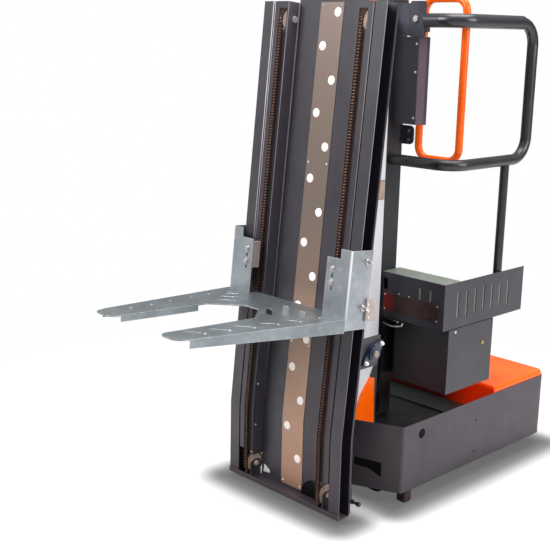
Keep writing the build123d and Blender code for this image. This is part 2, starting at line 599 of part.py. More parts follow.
axle_at = CASTER_Y - CASTER_TRAIL
arm = block(27, 33, axle_at - 18, CASTER_Y + 30, 120, 158)
arm += block(27, 33, axle_at - 18, axle_at + 18, CASTER_R, 150) + rod_x(27, 33, axle_at, CASTER_R, 18)
yoke = arm + mirror(arm, about=Plane.YZ) + rod_z(0, CASTER_Y, 156, 166, 42)
yoke += block(-33, 33, CASTER_Y - 20, CASTER_Y + 30, 156, 164)
yoke += rod_z(0, CASTER_Y, 166, stem_top, 15) + rod_x(-37, 37, axle_at, CASTER_R, 8)
roll = rod_x(-22, 22, axle_at, CASTER_R, CASTER_R)
roll = fillet(roll.edges().filter_by(GeomType.CIRCLE), 8)
roll -= rod_x(-25, 25, axle_at, CASTER_R, 8 + RUN)
for name, side in (("right", 1), ("left", -1)):
    save("caster_fork_" + name, [Pos(side * CASTER_X, 0, 0) * yoke])
    save("caster_wheel_" + name, [Pos(side * CASTER_X, 0, 0) * roll])

# Operator mast: outer profile, gussets, lift cylinder, inner stage
mast_in = MAST_HALF - MAST_WALL
mast = [block(-MAST_HALF, MAST_HALF, MAST_FRONT, MAST_FRONT + MAST_WALL, DECK_TOP, MAST_TOP)]
mast += mirrored([
    block(mast_in, MAST_HALF, MAST_FRONT + MAST_WALL, MAST_BACK - MAST_WALL, DECK_TOP, MAST_TOP),
    block(62, MAST_HALF, MAST_BACK - MAST_WALL, MAST_BACK, DECK_TOP, MAST_TOP),
])
save("mast_outer", mast)
gusset = side_plate(
    [(462, DECK_TOP), (452, 511), (427, 521), (372, 456), (320, 348), (320, DECK_TOP)], 125, 135)
save("mast_brackets", mirrored([gusset]))
stave = (Circle(34) - Circle(22 + RUN)) & Polygon((0, 0), (80, 0), (80, 80), align=None)
stave = extrude(stave, 1990 - DECK_TOP - 14)
barrel = [Pos(0, CYL_Y, DECK_TOP + 14) * Rot(0, 0, 45 * i) * stave for i in range(8)]
save("lift_cylinder", [rod_z(0, CYL_Y, DECK_TOP, DECK_TOP + 14, 34)] + barrel)
save("cylinder_rod", [rod_z(0, CYL_Y, 290, 2130, 22)])

STAGE_LOW = 272.0
STAGE_TOP = 2130.0
stage = [block(-110, 110, 343, 461, STAGE_TOP, STAGE_TOP + 8)]
stage.append(block(-110, 110, 343, 350, STAGE_LOW, STAGE_TOP))
stage.append(block(-110, 110, 454, 461, STAGE_LOW, STAGE_TOP))
stage += mirrored([block(103, 110, 350, 454, STAGE_LOW, STAGE_TOP)])
stage += mirrored([block(29, 36, 461, 505, STAGE_LOW, STAGE_TOP)])
stage.append(block(-58, 58, 505, 513, STAGE_LOW, STAGE_TOP))
stage.append(block(-58, 58, 542, 550, STAGE_LOW, STAGE_TOP))
stage += mirrored([block(50, 58, 513, 542, STAGE_LOW, STAGE_TOP)])
save("mast_inner", stage)

# Platform: post, shoes, tray, lids, box, rails, covers and console
post = [block(-POST_HALF, POST_HALF, POST_FRONT, POST_BACK, POST_TOP - 6, POST_TOP)]
post.append(block(-POST_HALF, POST_HALF, POST_FRONT, POST_FRONT + 6, 270, POST_TOP - 6))
post.append(block(-POST_HALF, POST_HALF, POST_BACK - 6, POST_BACK, 270, POST_TOP - 6))
post += mirrored([block(POST_HALF - 6, POST_HALF, POST_FRONT + 6, POST_BACK - 6, 270, POST_TOP - 6)])
save("platform_post", post)
shoes = []
for z0, z1 in ((300, 390), (650, 760)):
    wrap = block(-74, 74, 490, POST_FRONT, z0, z1) - block(-58.5, 58.5, 504.5, 550.5, z0, z1)
    shoes.append(wrap - block(-42, 42, 490, 504.5, z0, z1))
save("post_shoes", shoes)

walls = block(-TRAY_HALF, TRAY_HALF, TRAY_FRONT, TRAY_BACK, TRAY_LOW, TRAY_TOP)
walls -= block(-TRAY_HALF + 4, TRAY_HALF - 4, TRAY_FRONT + 4, TRAY_BACK + 1, TRAY_LOW + 5, TRAY_TOP)
walls -= block(-POST_HALF, POST_HALF, POST_FRONT, POST_BACK, TRAY_LOW, TRAY_TOP)
for side in (1, -1):
    for x in (279, 339):
        place = Plane(origin=(side * x, TRAY_FRONT - 5, 921), x_dir=(0, 0, 1), z_dir=(0, 1, 0))
        walls -= place * extrude(SlotOverall(56, 16), 9)
    place = Plane(origin=(side * 81, TRAY_FRONT - 5, 934), x_dir=(0, 0, 1), z_dir=(0, 1, 0))
    walls -= place * extrude(SlotOverall(56, 26), 9)
    for i in range(7):
        spot = (side * (TRAY_HALF + 5), 668 + i * 65, 882)
        place = Plane(origin=spot, x_dir=(0, 0, 1), z_dir=(-side, 0, 0))
        walls -= place * extrude(SlotOverall(122, 14), 9)
save("platform_tray", [walls])
save("floor_mat", [block(-368, 368, 700, 1170, TRAY_LOW + 5, TRAY_LOW + 9)])
lid = block(POST_HALF + 8, TRAY_HALF - 4, POST_FRONT, 690, TRAY_TOP - 3, TRAY_TOP)
lid += block(110, TRAY_HALF - 4, POST_FRONT, POST_FRONT + 2, 800, TRAY_TOP - 3)
lid += block(TRAY_HALF - 6, TRAY_HALF - 4, POST_FRONT, 1120, 800, TRAY_TOP - 3)
lid += block(POST_HALF + 8, TRAY_HALF - 4, 688, 690, TRAY_LOW + 5, TRAY_TOP - 3)
save("tray_lids", mirrored([lid]))
save("label_plate", [block(75, 390, TRAY_FRONT - 1.5, TRAY_FRONT, 809, 890)])

box_x = BOX_HALF - 4
notch_back = 690.0
carton = []
for z in (BOX_LOW, TRAY_LOW - 4):
    carton.append(block(-box_x, box_x, notch_back, BOX_BACK, z, z + 4))
    carton += mirrored([block(BOX_NOTCH, box_x, BOX_FRONT, notch_back, z, z + 4)])
low, high = BOX_LOW + 4, TRAY_LOW - 4
carton += mirrored([
    block(BOX_NOTCH, box_x, BOX_FRONT, BOX_FRONT + 4, low, high),
    block(BOX_NOTCH, BOX_NOTCH + 4, BOX_FRONT + 4, notch_back, low, high),
])
carton.append(block(-BOX_NOTCH - 4, BOX_NOTCH + 4, notch_back, notch_back + 4, low, high))
carton.append(block(-box_x, box_x, BOX_BACK - 4, BOX_BACK, low, high))
carton.append(block(-box_x, 4 - box_x, BOX_FRONT + 4, BOX_BACK - 4, low, high))
save("under_box", carton)
cover = block(BOX_HALF - 4, BOX_HALF, BOX_FRONT - 4, BOX_BACK, BOX_LOW, TRAY_LOW - 6)
cover += block(BOX_HALF - 27, BOX_HALF - 4, BOX_FRONT - 4, BOX_FRONT, BOX_LOW, TRAY_LOW - 6)
lock_y, lock_z = 880.0, 666.0
cover -= rod_x(BOX_HALF - 8, BOX_HALF + 4, lock_y, lock_z, 7 + RUN)
save("box_cover", [cover])
lock = rod_x(BOX_HALF - 13, BOX_HALF, lock_y, lock_z, 7)
lock += rod_x(BOX_HALF, BOX_HALF + 4, lock_y, lock_z, 10)
lock += block(BOX_HALF - 17, BOX_HALF - 13, lock_y - 9, lock_y + 36, lock_z - 9, lock_z + 9)
lock -= block(BOX_HALF + 2, BOX_HALF + 5, lock_y - 1.2, lock_y + 1.2, lock_z - 5, lock_z + 5)
save("cover_lock", [lock])

rail_path = [
    (POST_HALF, RAIL_Y, RAIL_Z[0]), (RAIL_X, RAIL_Y, RAIL_Z[0]), (RAIL_X, RAIL_BACK, RAIL_Z[0]),
    (RAIL_X, RAIL_BACK, RAIL_Z[1]), (RAIL_X, RAIL_Y, RAIL_Z[1]), (212, RAIL_Y, RAIL_Z[1])]
rail = tubes(rail_path, RAIL_R, 100, 3)
sleeve_path = [(212, RAIL_Y, RAIL_Z[1]), (RAIL_X, RAIL_Y, RAIL_Z[1]), (RAIL_X, RAIL_BACK - 100, RAIL_Z[1])]
sleeve = tubes(sleeve_path, SLEEVE_R, 100, SLEEVE_R - RAIL_R)
leg_x = RAIL_X - 3
leg = rod_z(leg_x, 1000, TRAY_LOW + 5, RAIL_Z[0], 20) - rod_z(leg_x, 1000, TRAY_LOW + 5, RAIL_Z[0], 17.5)
leg -= rod_y(RAIL_X, 900, 1100, RAIL_Z[0], RAIL_R)
leg = leg.solids().sort_by(Axis.Z)[0]
save("guard_rails", mirrored(rail + sleeve + [leg]))

bracket = block(132, 212, 588, 598, 2047, 2198)
bracket = fillet(bracket.edges().filter_by(Axis.Y), 8)
ear_plate = block(POST_HALF, 124, 595, 605, 2050, 2190)
ear_plate = fillet(ear_plate.edges().filter_by(Axis.Y).sort_by(Axis.X)[-2:], 10)
ear_plate += block(POST_HALF, 150, 598, 612, 2080, 2160)
ring = rod_z(GATE_X[0], GATE_Y, 0, 44, 25) - rod_z(GATE_X[0], GATE_Y, 0, 44, GATE_R + RUN)
low_arm = block(POST_HALF, POST_HALF + 8, 640, GATE_Y + 8, 1690, 1760)
low_arm += block(POST_HALF + 8, GATE_X[0] - 20, GATE_Y - 8, GATE_Y + 8, 1703, 1747)
low_arm += Pos(0, 0, 1703) * ring
cheek = block(20, 112, POST_BACK, POST_BACK + 8, 1570, 1655)
cheek = fillet(cheek.edges().filter_by(Axis.Y).sort_by(Axis.X)[-2:], 22)
high_arm = block(GATE_X[0] + 8, GATE_X[0] + 24, 612, GATE_Y - 20, 2068, 2112)
high_arm += block(132, 150, 598, 612, 2068, 2080)
high_arm += Pos(0, 0, 2068) * ring
save("rail_brackets", mirrored([bracket + high_arm, ear_plate, low_arm, cheek]))
case = block(POST_HALF, 207, 595, 640, 1668, 2047)
case = chamfer(case.edges().filter_by(Axis.Z).sort_by(Axis.X)[-2:].sort_by(Axis.Y)[0], 25)
room = block(POST_HALF, 204, 598, 640, 1671, 2044)
case -= chamfer(room.edges().filter_by(Axis.Z).sort_by(Axis.X)[-2:].sort_by(Axis.Y)[0], 23.2)
save("control_covers", mirrored([case]))

heads = []
for z in (1697, 1896, 2018):
    place = Plane(origin=(169, 595, z), z_dir=(0, -1, 0))
    heads.append(place * Cone(6, 4, 3, align=(Align.CENTER, Align.CENTER, Align.MIN)))
for z in (1592, 1632):
    heads.append(Plane(origin=(88, POST_BACK, z), z_dir=(0, -1, 0)) * hex_head(7, 4))
heads.append(Plane(origin=(165, 588, 2123), z_dir=(0, -1, 0)) * hex_head(14, 9))
for x in (82, 383):
    for z in (816, 883):
        head = Cone(4, 3, 2, align=(Align.CENTER, Align.CENTER, Align.MIN))
        heads.append(Plane(origin=(x, TRAY_FRONT - 1.5, z), z_dir=(0, -1, 0)) * head)
for x in (163, 222):
    head = Cone(4, 3, 2, align=(Align.CENTER, Align.CENTER, Align.MIN))
    heads.append(Plane(origin=(x, TRAY_FRONT, 897), z_dir=(0, -1, 0)) * head)
heads.append(Plane(origin=(BOX_HALF, 665, 755), z_dir=(1, 0, 0)) * hex_head(7, 4))
for x in (105, 250, 400):
    heads.append(Pos(x, 682, TRAY_TOP) * Cone(6, 4, 3, align=(Align.CENTER, Align.CENTER, Align.MIN)))
save("cover_screws", heads)

loop = [(x, GATE_Y, z) for x, z in (
    (GATE_X[0], GATE_Z[0]), (GATE_X[0], GATE_Z[1]), (GATE_X[1], GATE_Z[1]), (GATE_X[1], GATE_Z[0]))]
gate = tubes(loop, GATE_R, GATE_BEND, 2.5, close=True)
save("gate_right", gate)
save("gate_left", [mirror(tube, about=Plane.YZ) for tube in gate])

lever_at = (-45.0, 722.0, 1931.0)
switch_at = (0.0, 761.0, 1850.0)
stop_at = (35.0, 722.0)
console = block(-92, 70, POST_BACK, 765, 1770, 1930)
console = fillet(console.edges().filter_by(Axis.Z).sort_by(Axis.Y)[-2:], 12)
console -= rod_x(lever_at[0] - 16, lever_at[0] + 16, lever_at[1], lever_at[2], 12.4)
console -= rod_x(-13, 13, switch_at[1], switch_at[2], 14.4)
console -= rod_z(*stop_at, 1900, 1931, 8 + RUN)
save("console", [console])
lever = rod_x(lever_at[0] - 15.6, lever_at[0] + 15.6, lever_at[1], lever_at[2], 12)
lever += rod_z(lever_at[0], lever_at[1], lever_at[2], 1990, 6)
grip = Pos(lever_at[0], lever_at[1], 1998) * Cylinder(14, 46)
lever += fillet(grip.edges().filter_by(GeomType.CIRCLE), 10)
save("joystick", [lever])
rocker = rod_x(-12.6, 12.6, switch_at[1], switch_at[2], 14)
rocker += block(-12.6, 12.6, 770, 777, switch_at[2] - 16, switch_at[2] + 16)
save("lift_rocker", [rocker])
stop = rod_z(*stop_at, 1907, 1940, 8) + rod_z(*stop_at, 1937, 1952, 19)
stop = fillet(stop.edges().filter_by(GeomType.CIRCLE).group_by(Axis.Z)[-1], 6)
save("emergency_stop", [stop])

run = [(58, 650, TRAY_LOW), (58, 650, 715), (58, 594, 648), (58, 590, 505), (58, 578, 430)]
hose = pipe(FilletPolyline(*run, radius=20), 6.5, 3)
clips = [block(POST_HALF, 66, 582, 602, 500, 508), block(POST_HALF, 66, 582, 604, 600, 608)]
for i in range(2):
    clips[i] -= hose
hose = [hose] + [solid for clip in clips for solid in clip.solids()]
save("post_cable", hose)
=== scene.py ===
from math import asin, atan2, cos, hypot, pi, radians, sin, tan

import bpy
import numpy as np
from mathutils import Matrix, Vector


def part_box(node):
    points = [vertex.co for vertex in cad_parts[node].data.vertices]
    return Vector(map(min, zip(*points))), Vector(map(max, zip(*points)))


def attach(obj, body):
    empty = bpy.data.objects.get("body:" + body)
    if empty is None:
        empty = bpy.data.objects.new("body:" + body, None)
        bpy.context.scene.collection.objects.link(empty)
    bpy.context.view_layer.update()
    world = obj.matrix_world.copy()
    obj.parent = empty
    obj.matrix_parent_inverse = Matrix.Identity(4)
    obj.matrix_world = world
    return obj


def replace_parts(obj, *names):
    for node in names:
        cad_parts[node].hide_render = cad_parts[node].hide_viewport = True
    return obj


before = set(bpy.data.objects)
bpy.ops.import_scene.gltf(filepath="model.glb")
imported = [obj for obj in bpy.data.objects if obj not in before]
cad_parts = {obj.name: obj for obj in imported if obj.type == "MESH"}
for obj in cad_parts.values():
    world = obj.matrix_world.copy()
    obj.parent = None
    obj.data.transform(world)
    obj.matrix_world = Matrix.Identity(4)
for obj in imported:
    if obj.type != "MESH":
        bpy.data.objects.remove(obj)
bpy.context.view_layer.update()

# Places are in millimetres from the lower front of the fork mast, ORIGIN_Y ahead of the frame's zero
ORIGIN_Y = -1000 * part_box("fork_panel")[0].y

# Fork mast: s is up its face, depth is behind its face and n is out in front of it
LEAN = radians(5.5)
PANEL_BOTTOM = 25.0
KINK_S = 352.0
KINK_Z = PANEL_BOTTOM + KINK_S
STRIP_LOW = 143.0
CHANNEL_LOW = 10.0
PANEL_HIGH = 2169.0

# Chains and sprockets: links are (end radius, half waist), plates are (inner face, outer face)
PITCH = 12.7
TEETH = 24
SPROCKET_R = PITCH / (2 * sin(pi / TEETH))
SPROCKET_DEPTH = 39.0
CHAIN_N = SPROCKET_R - SPROCKET_DEPTH
CHAIN_X = 231.0
LOW_SPROCKET_S = 72.0
TOP_SPROCKET_S = 2096.0
BEND_R = 300.0
DRIVE_SPROCKET = (188.0, 737.0)
SHOE = (165.0, 630.0)
SHOE_R = 30.0
INNER_LINK = (5.0, 3.2)
OUTER_LINK = (4.6, 2.9)
INNER_PLATE = (8.1, 9.5)
OUTER_PLATE = (9.7, 11.1)
ROLLER_R = 2.9
ROLLER_HALF = 8.0
ROLLER_SIDES = 12
PIN_R = 2.1
PIN_HALF = 11.7
PIN_SIDES = 8
LINK_POINTS = 9
LINK_OPEN = 0.3 * pi
ROUTE_STEP = 1.5

# Fork deck: its height on the mast and its slope
DECK_S = 897.0
DECK_RISE = radians(3.35)


def at(x, y, z):
    """A point in millimetres as a place in the frame, in metres."""
    return Vector((x, y - ORIGIN_Y, z)) / 1000


def panel_yz(s, depth):
    """Side-view point at height s of the fork mast, a depth behind its front face."""
    if s <= KINK_S:
        return depth, PANEL_BOTTOM + s
    up = s - KINK_S
    return up * sin(LEAN) + depth * cos(LEAN), KINK_Z + up * cos(LEAN) - depth * sin(LEAN)


def kink_yz(depth):
    """Side-view point on the mitre line of the mast's bend."""
    return depth, KINK_Z - depth * tan(LEAN / 2)


def panel_at(x, s, n):
    """A point on the fork mast: x across, s up its face, n out in front."""
    y, z = panel_yz(s, -n)
    return at(x, y, z)


def deck_at(x, d, h):
    """A point on the fork deck: d forward from the mast, h above the plate."""
    y, z = panel_yz(DECK_S, 0)
    forward = d * cos(DECK_RISE) - h * sin(DECK_RISE)
    rise = d * sin(DECK_RISE) + h * cos(DECK_RISE)
    return at(x, y - forward, z + rise)


def linear(code):
    """Linear colour from an sRGB hex code."""
    parts = [int(code[i:i + 2], 16) / 255 for i in (0, 2, 4)]
    return [p / 12.92 if p <= 0.04045 else ((p + 0.055) / 1.055) ** 2.4 for p in parts] + [1.0]


class Shader:
    """A small helper that builds a node material. Colours are sRGB codes or node outputs."""

    # Colour slots of the mix node
    MIX_INPUTS = (6, 7)
    MIX_OUTPUT = 2
    # Rounded edges: samples, and the cosine to the flat normal from edge to face
    BEVEL_SAMPLES = 4
    EDGE_MATCH = (0.82, 0.99)
    # Painted warm reflection: heights in metres between which it fades out, and its linear colour
    WARM_FADE = (0.35, 1.15)
    WARM_TINT = (0.82, 0.62, 0.71, 1.0)
    # Noise that is alike along all axes
    EVEN = (1, 1, 1)

    def __init__(self, name):
        self.mat = bpy.data.materials.new(name)
        self.mat.use_nodes = True
        self.tree = self.mat.node_tree
        self.bsdf = self.tree.nodes["Principled BSDF"]
        self.coords = self.node("ShaderNodeTexCoord").outputs["Object"]

    def node(self, kind, **values):
        """A new node with its inputs or settings given by name."""
        made = self.tree.nodes.new(kind)
        for key, value in values.items():
            if key in made.inputs:
                made.inputs[key].default_value = value
            else:
                setattr(made, key, value)
        return made

    def link(self, out, into):
        self.tree.links.new(out, into)

    def mapped(self, scale=EVEN):
        """Object coordinates stretched along the axes."""
        place = self.node("ShaderNodeMapping", Scale=scale)
        self.link(self.coords, place.inputs["Vector"])
        return place.outputs["Vector"]

    def noise(self, scale, detail=4.0, stretch=EVEN):
        tex = self.node("ShaderNodeTexNoise", Scale=scale, Detail=detail, Roughness=0.55)
        self.link(self.mapped(stretch), tex.inputs["Vector"])
        return tex.outputs["Fac"]

    def ramp(self, fac, stops):
        """A colour ramp through sRGB codes."""
        made = self.node("ShaderNodeValToRGB")
        bar = made.color_ramp
        while len(bar.elements) < len(stops):
            bar.elements.new(0.5)
        for element, (place, code) in zip(bar.elements, stops):
            element.position = place
            element.color = linear(code)
        self.link(fac, made.inputs["Fac"])
        return made.outputs["Color"]

    def mottled(self, dark, light, scale, detail=4.0, stretch=EVEN):
        """Cloudy changes between two tones."""
        return self.ramp(self.noise(scale, detail, stretch), [(0.3, dark), (0.7, light)])

    def shade(self, dark, light):
        """Slow shade changes of a powder coat."""
        return self.mottled(dark, light, 3.0, 3.0)

    def grain(self):
        """Fine grain of a powder coat."""
        return self.noise(900.0, 2.0)

    def gloss(self, low, high):
        """Patchy roughness of a powder coat."""
        return self.span(self.noise(14.0), low, high)

    def span(self, fac, low, high, start=0.3, end=0.7):
        """A value that goes from low to high while fac goes from start to end."""
        made = self.node("ShaderNodeMapRange")
        limits = {"From Min": start, "From Max": end, "To Min": low, "To Max": high}
        for key, value in limits.items():
            made.inputs[key].default_value = value
        self.link(fac, made.inputs["Value"])
        return made.outputs["Result"]

    def mix(self, fac, a, b, mode="MIX"):
        """Two colours mixed by a factor."""
        made = self.node("ShaderNodeMix", data_type="RGBA", blend_type=mode)
        if isinstance(fac, float):
            made.inputs["Factor"].default_value = fac
        else:
            self.link(fac, made.inputs["Factor"])
        for slot, value in zip(self.MIX_INPUTS, (a, b)):
            if isinstance(value, str):
                made.inputs[slot].default_value = linear(value)
            elif isinstance(value, tuple):
                made.inputs[slot].default_value = value
            else:
                self.link(value, made.inputs[slot])
        return made.outputs[self.MIX_OUTPUT]

    def part(self, axis):
        """One object coordinate, in metres."""
        parts = self.node("ShaderNodeSeparateXYZ")
        self.link(self.coords, parts.inputs["Vector"])
        return parts.outputs[axis]

    def along(self, axis, low, high):
        """0 to 1 along an object axis between two places."""
        return self.span(self.part(axis), 0.0, 1.0, low, high)

    def aside(self):
        """Distance from the middle plane of the machine, in metres."""
        return self.math("ABSOLUTE", self.part("X"))

    def math(self, operation, a, b=0.0):
        made = self.node("ShaderNodeMath", operation=operation)
        for slot, value in enumerate((a, b)):
            if isinstance(value, float):
                made.inputs[slot].default_value = value
            else:
                self.link(value, made.inputs[slot])
        return made.outputs["Value"]

    def both(self, first, *others):
        """The product of masks."""
        for other in others:
            first = self.math("MULTIPLY", first, other)
        return first

    def distance(self, off_a, off_b):
        """Length of the diagonal of two distances."""
        square = self.math("ADD", self.math("POWER", off_a, 2.0), self.math("POWER", off_b, 2.0))
        return self.math("SQRT", square)

    def between(self, value, low, high, soft=0.0003):
        """1 where a value in metres lies between two limits."""
        rise = self.span(value, 0.0, 1.0, low - soft, low + soft)
        fall = self.span(value, 1.0, 0.0, high - soft, high + soft)
        return self.both(rise, fall)

    def mast_depth(self):
        """How far a point lies behind the front of the fork mast, in metres."""
        slanted = self.node("ShaderNodeVectorMath", operation="DOT_PRODUCT")
        self.link(self.coords, slanted.inputs[0])
        slanted.inputs[1].default_value = (0, cos(LEAN), -sin(LEAN))
        start = (ORIGIN_Y * cos(LEAN) + KINK_Z * sin(LEAN)) / 1000
        upper = self.math("ADD", slanted.outputs["Value"], start)
        lower = self.math("ADD", self.part("Y"), ORIGIN_Y / 1000)
        return self.math("MINIMUM", upper, lower)

    def warm_reflection(self, colour, place):
        """The colour with a painted warm reflection towards the floor, where place is 1."""
        low_down = self.span(self.part("Z"), 1.0, 0.0, *self.WARM_FADE)
        return self.mix(self.both(low_down, place), colour, self.WARM_TINT, "MULTIPLY")

    def rounded(self, radius):
        """Surface normal with its edges rounded off."""
        rounding = self.node("ShaderNodeBevel", Radius=radius)
        rounding.samples = self.BEVEL_SAMPLES
        return rounding.outputs["Normal"]

    def edges(self, radius):
        """1 near the edges of the shape, 0 on its flat faces."""
        flat = self.node("ShaderNodeNewGeometry")
        match = self.node("ShaderNodeVectorMath", operation="DOT_PRODUCT")
        self.link(self.rounded(radius), match.inputs[0])
        self.link(flat.outputs["Normal"], match.inputs[1])
        return self.span(match.outputs["Value"], 1.0, 0.0, *self.EDGE_MATCH)

    def worn_and_highlit(self, colour, tint, radius=0.0015, amount=0.6):
        """The colour with lighter, patchy edges: part wear, part painted highlight."""
        patches = self.span(self.noise(35.0), amount * 0.4, amount)
        return self.mix(self.both(self.edges(radius), patches), colour, tint)

    def painted_glow(self, colour, strength):
        """Lets a colour give off a little light of its own."""
        self.link(colour, self.bsdf.inputs["Emission Color"])
        self.bsdf.inputs["Emission Strength"].default_value = strength

    def finish(self, colour, rough, bump=None, strength=0.1, edge=0.0012,
               metallic=0.0, coat=0.0, specular=0.5):
        """The material from its colour, roughness, surface grain and rounded edges."""
        self.link(colour, self.bsdf.inputs["Base Color"])
        self.link(rough, self.bsdf.inputs["Roughness"])
        self.bsdf.inputs["Metallic"].default_value = metallic
        self.bsdf.inputs["Coat Weight"].default_value = coat
        self.bsdf.inputs["Specular IOR Level"].default_value = specular
        normal = self.node("ShaderNodeBump", Strength=strength, Distance=0.001)
        if edge:
            self.link(self.rounded(edge), normal.inputs["Normal"])
        if bump is not None:
            self.link(bump, normal.inputs["Height"])
        self.link(normal.outputs["Normal"], self.bsdf.inputs["Normal"])
        return self.mat


# Roughness of powder coats, of the fork mast's smoother coat and of oil on it
COAT_ROUGH = (0.38, 0.5)
MAST_ROUGH = (0.34, 0.46)
OIL_ROUGH = 0.9

# Painted places on the fork mast, in metres: behind its face, across the machine and up
MAST_FACE = (-0.002, 0.0012)
# Places that take a painted warm reflection low down
WARM_NEAR_HALF = (-0.06, 0.1)
WARM_FAR_STRIP = (-0.201, -0.199)
RECESS_WALL = (0.1935, 0.1995)
RECESS_DEPTH = (0.0015, 0.0605)
# Painted highlight on the corner of the far recess wall and the web, fading out towards the floor
SEAM_HIGHLIGHT = (-0.1985, -0.1925)
SEAM_HIGHLIGHT_DEPTH = (0.0605, 0.0632)
SEAM_HIGHLIGHT_FADE = (0.2, 1.7)
# Beside each chain: black painted shade behind it, then a darker band of painted chain shadow with oil
CHAIN_SHADOWS_AND_OIL = [
    (0.209, 0.2305, "040202"), (0.2305, 0.248, "38211a"),
    (-0.253, -0.2315, "040202"), (-0.2315, -0.202, "0d0604")]
SHADOW_AND_OIL_END = (2.05, 2.08)
# Painted highlights along the folds of the sheet, fading out towards the floor
FOLD_HIGHLIGHTS = [
    (0.2805, 0.286, "b7a8a8"), (-0.286, -0.2795, "ece3e9"), (-0.2, -0.1955, "a29aa3")]
FOLD_HIGHLIGHT_FADE = (0.6, 1.9)
# Roller channel: painted warm reflection, painted shade inside and on its wall, painted highlights on its
# cut edge and lips
CHANNEL_WARM = (0.2, 0.25)
CHANNEL_INSIDE = (0.2915, 0.36)
CHANNEL_SHADE_DEPTH = (0.0032, 0.0665)
CHANNEL_HIGHLIGHT = (-0.001, 0.0042)
BACK_LIP_SHADE_DEPTH = (0.0032, 0.0728)
BACK_LIP_HIGHLIGHT = (0.0728, 0.078)
CHANNEL_WALL = (0.2885, 0.2912)
CHANNEL_WALL_DEPTH = (0.0035, 0.07)
CHANNEL_EDGE = (0.3495, 0.36)
CHANNEL_EDGE_FADE = (0.4, 1.5)
CHANNEL_LIP = (-0.2945, -0.2885)
CHANNEL_LIP_DEPTH = (-0.001, 0.0035)
CHANNEL_LIP_FADE = (0.7, 1.9)
# Painted highlight on the folded corner of the carriage brackets
BRACKET_FOLD_HIGHLIGHT = (-0.0625, -0.056)
BRACKET_SIDE = (0.3515, 0.37)
BRACKET_FADE = (0.8, 1.1)

# Places of other finishes, in metres
LUG_SCREWS = (0.335, 0.5)
# Painted reflection on the rounded edge of the control covers
COVER_BEVEL_REFLECTION = (0.1825, 0.2063)
PAINTED_RIVETS_Z = (0.9, 1.95)
PAINTED_RIVETS_X = (0.15, 0.22)
TOP_AXLES_Z = (1.96, 1.98)
LOW_AXLES_X = (0.203, 0.26)
TOOTH_ROOT = (0.043, 0.0445)
HOUSING_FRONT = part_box("rear_housing")[0].y
HOUSING_FRONT_END = (HOUSING_FRONT + 0.004, HOUSING_FRONT + 0.02)
# Painted shade on the housing's front, deepening towards the far side
HOUSING_FAR_SHADE = (0.1, 0.28)
FOOT_TOP = (0.096, 0.1)
CHAIN_FADE = (0.3, 1.6)
STRIP_RANGE = (0.05, 2.15)
PLATE_FIELD = (0.128, 0.13)


def powder_coat(name, dark, light, rough=COAT_ROUGH, edge=0.0012, wear_and_highlight=None):
    """Textured powder coat: slow shade changes, fine grain and lighter edges, part rubbed wear and part
    painted highlight.
    """
    m = Shader(name)
    grain = m.grain()
    colour = m.mix(m.span(grain, 0.0, 0.25, 0.45, 0.75), m.shade(dark, light), light)
    if wear_and_highlight:
        colour = m.worn_and_highlit(colour, wear_and_highlight)
    return m.finish(colour, m.gloss(*rough), bump=grain, strength=0.12, edge=edge)


def mast_sheet(name, dark, light):
    """Powder-coated mast sheet: a painted warm reflection low down, a recess wall painted lighter, painted
    highlights on its folds and a seam, and beside each chain painted shade and a painted chain shadow,
    with oil that roughens the sheet.
    """
    m = Shader(name)
    across = m.part("X")
    depth = m.mast_depth()
    front = m.between(depth, *MAST_FACE)
    # Painted warm reflection low on the near half and on the far strip
    near_half = m.span(across, 0.0, 1.0, *WARM_NEAR_HALF)
    far_strip = m.span(across, 1.0, 0.0, *WARM_FAR_STRIP)
    colour = m.warm_reflection(m.shade(dark, light), m.math("MAXIMUM", near_half, far_strip))
    # Painted light: the recess wall is lighter than the rest of the sheet
    wall = m.both(m.between(m.aside(), *RECESS_WALL), m.between(depth, *RECESS_DEPTH))
    colour = m.mix(wall, colour, "5c5761")
    streaks = m.noise(30.0, 3.0, (1, 1, 0.1))
    rough = m.gloss(*MAST_ROUGH)
    # Painted shade and chain shadow beside each chain; the oil in it roughens the sheet
    for low, high, tint in CHAIN_SHADOWS_AND_OIL:
        below = m.span(m.part("Z"), 1.0, 0.0, *SHADOW_AND_OIL_END)
        shadow_and_oil = m.both(m.between(across, low, high, 0.0008), front, below)
        rough = m.math("MAXIMUM", rough, m.both(shadow_and_oil, OIL_ROUGH))
        colour = m.mix(m.both(shadow_and_oil, m.span(streaks, 0.7, 0.97)), colour, tint)
    # Painted highlights along the folds, fading out towards the floor
    for low, high, tint in FOLD_HIGHLIGHTS:
        fold_highlight = m.both(m.between(across, low, high, 0.0006), front)
        fold_highlight = m.both(fold_highlight, m.span(streaks, 0.65, 0.98), m.along("Z", *FOLD_HIGHLIGHT_FADE))
        colour = m.mix(fold_highlight, colour, tint)
    # Painted highlight on the corner of the far recess wall and the web
    seam_highlight = m.both(m.between(across, *SEAM_HIGHLIGHT), m.between(depth, *SEAM_HIGHLIGHT_DEPTH))
    colour = m.mix(m.both(seam_highlight, m.along("Z", *SEAM_HIGHLIGHT_FADE)), colour, "cfc5cc")
    return m.finish(colour, rough, bump=m.grain(), strength=0.08, edge=0.0)


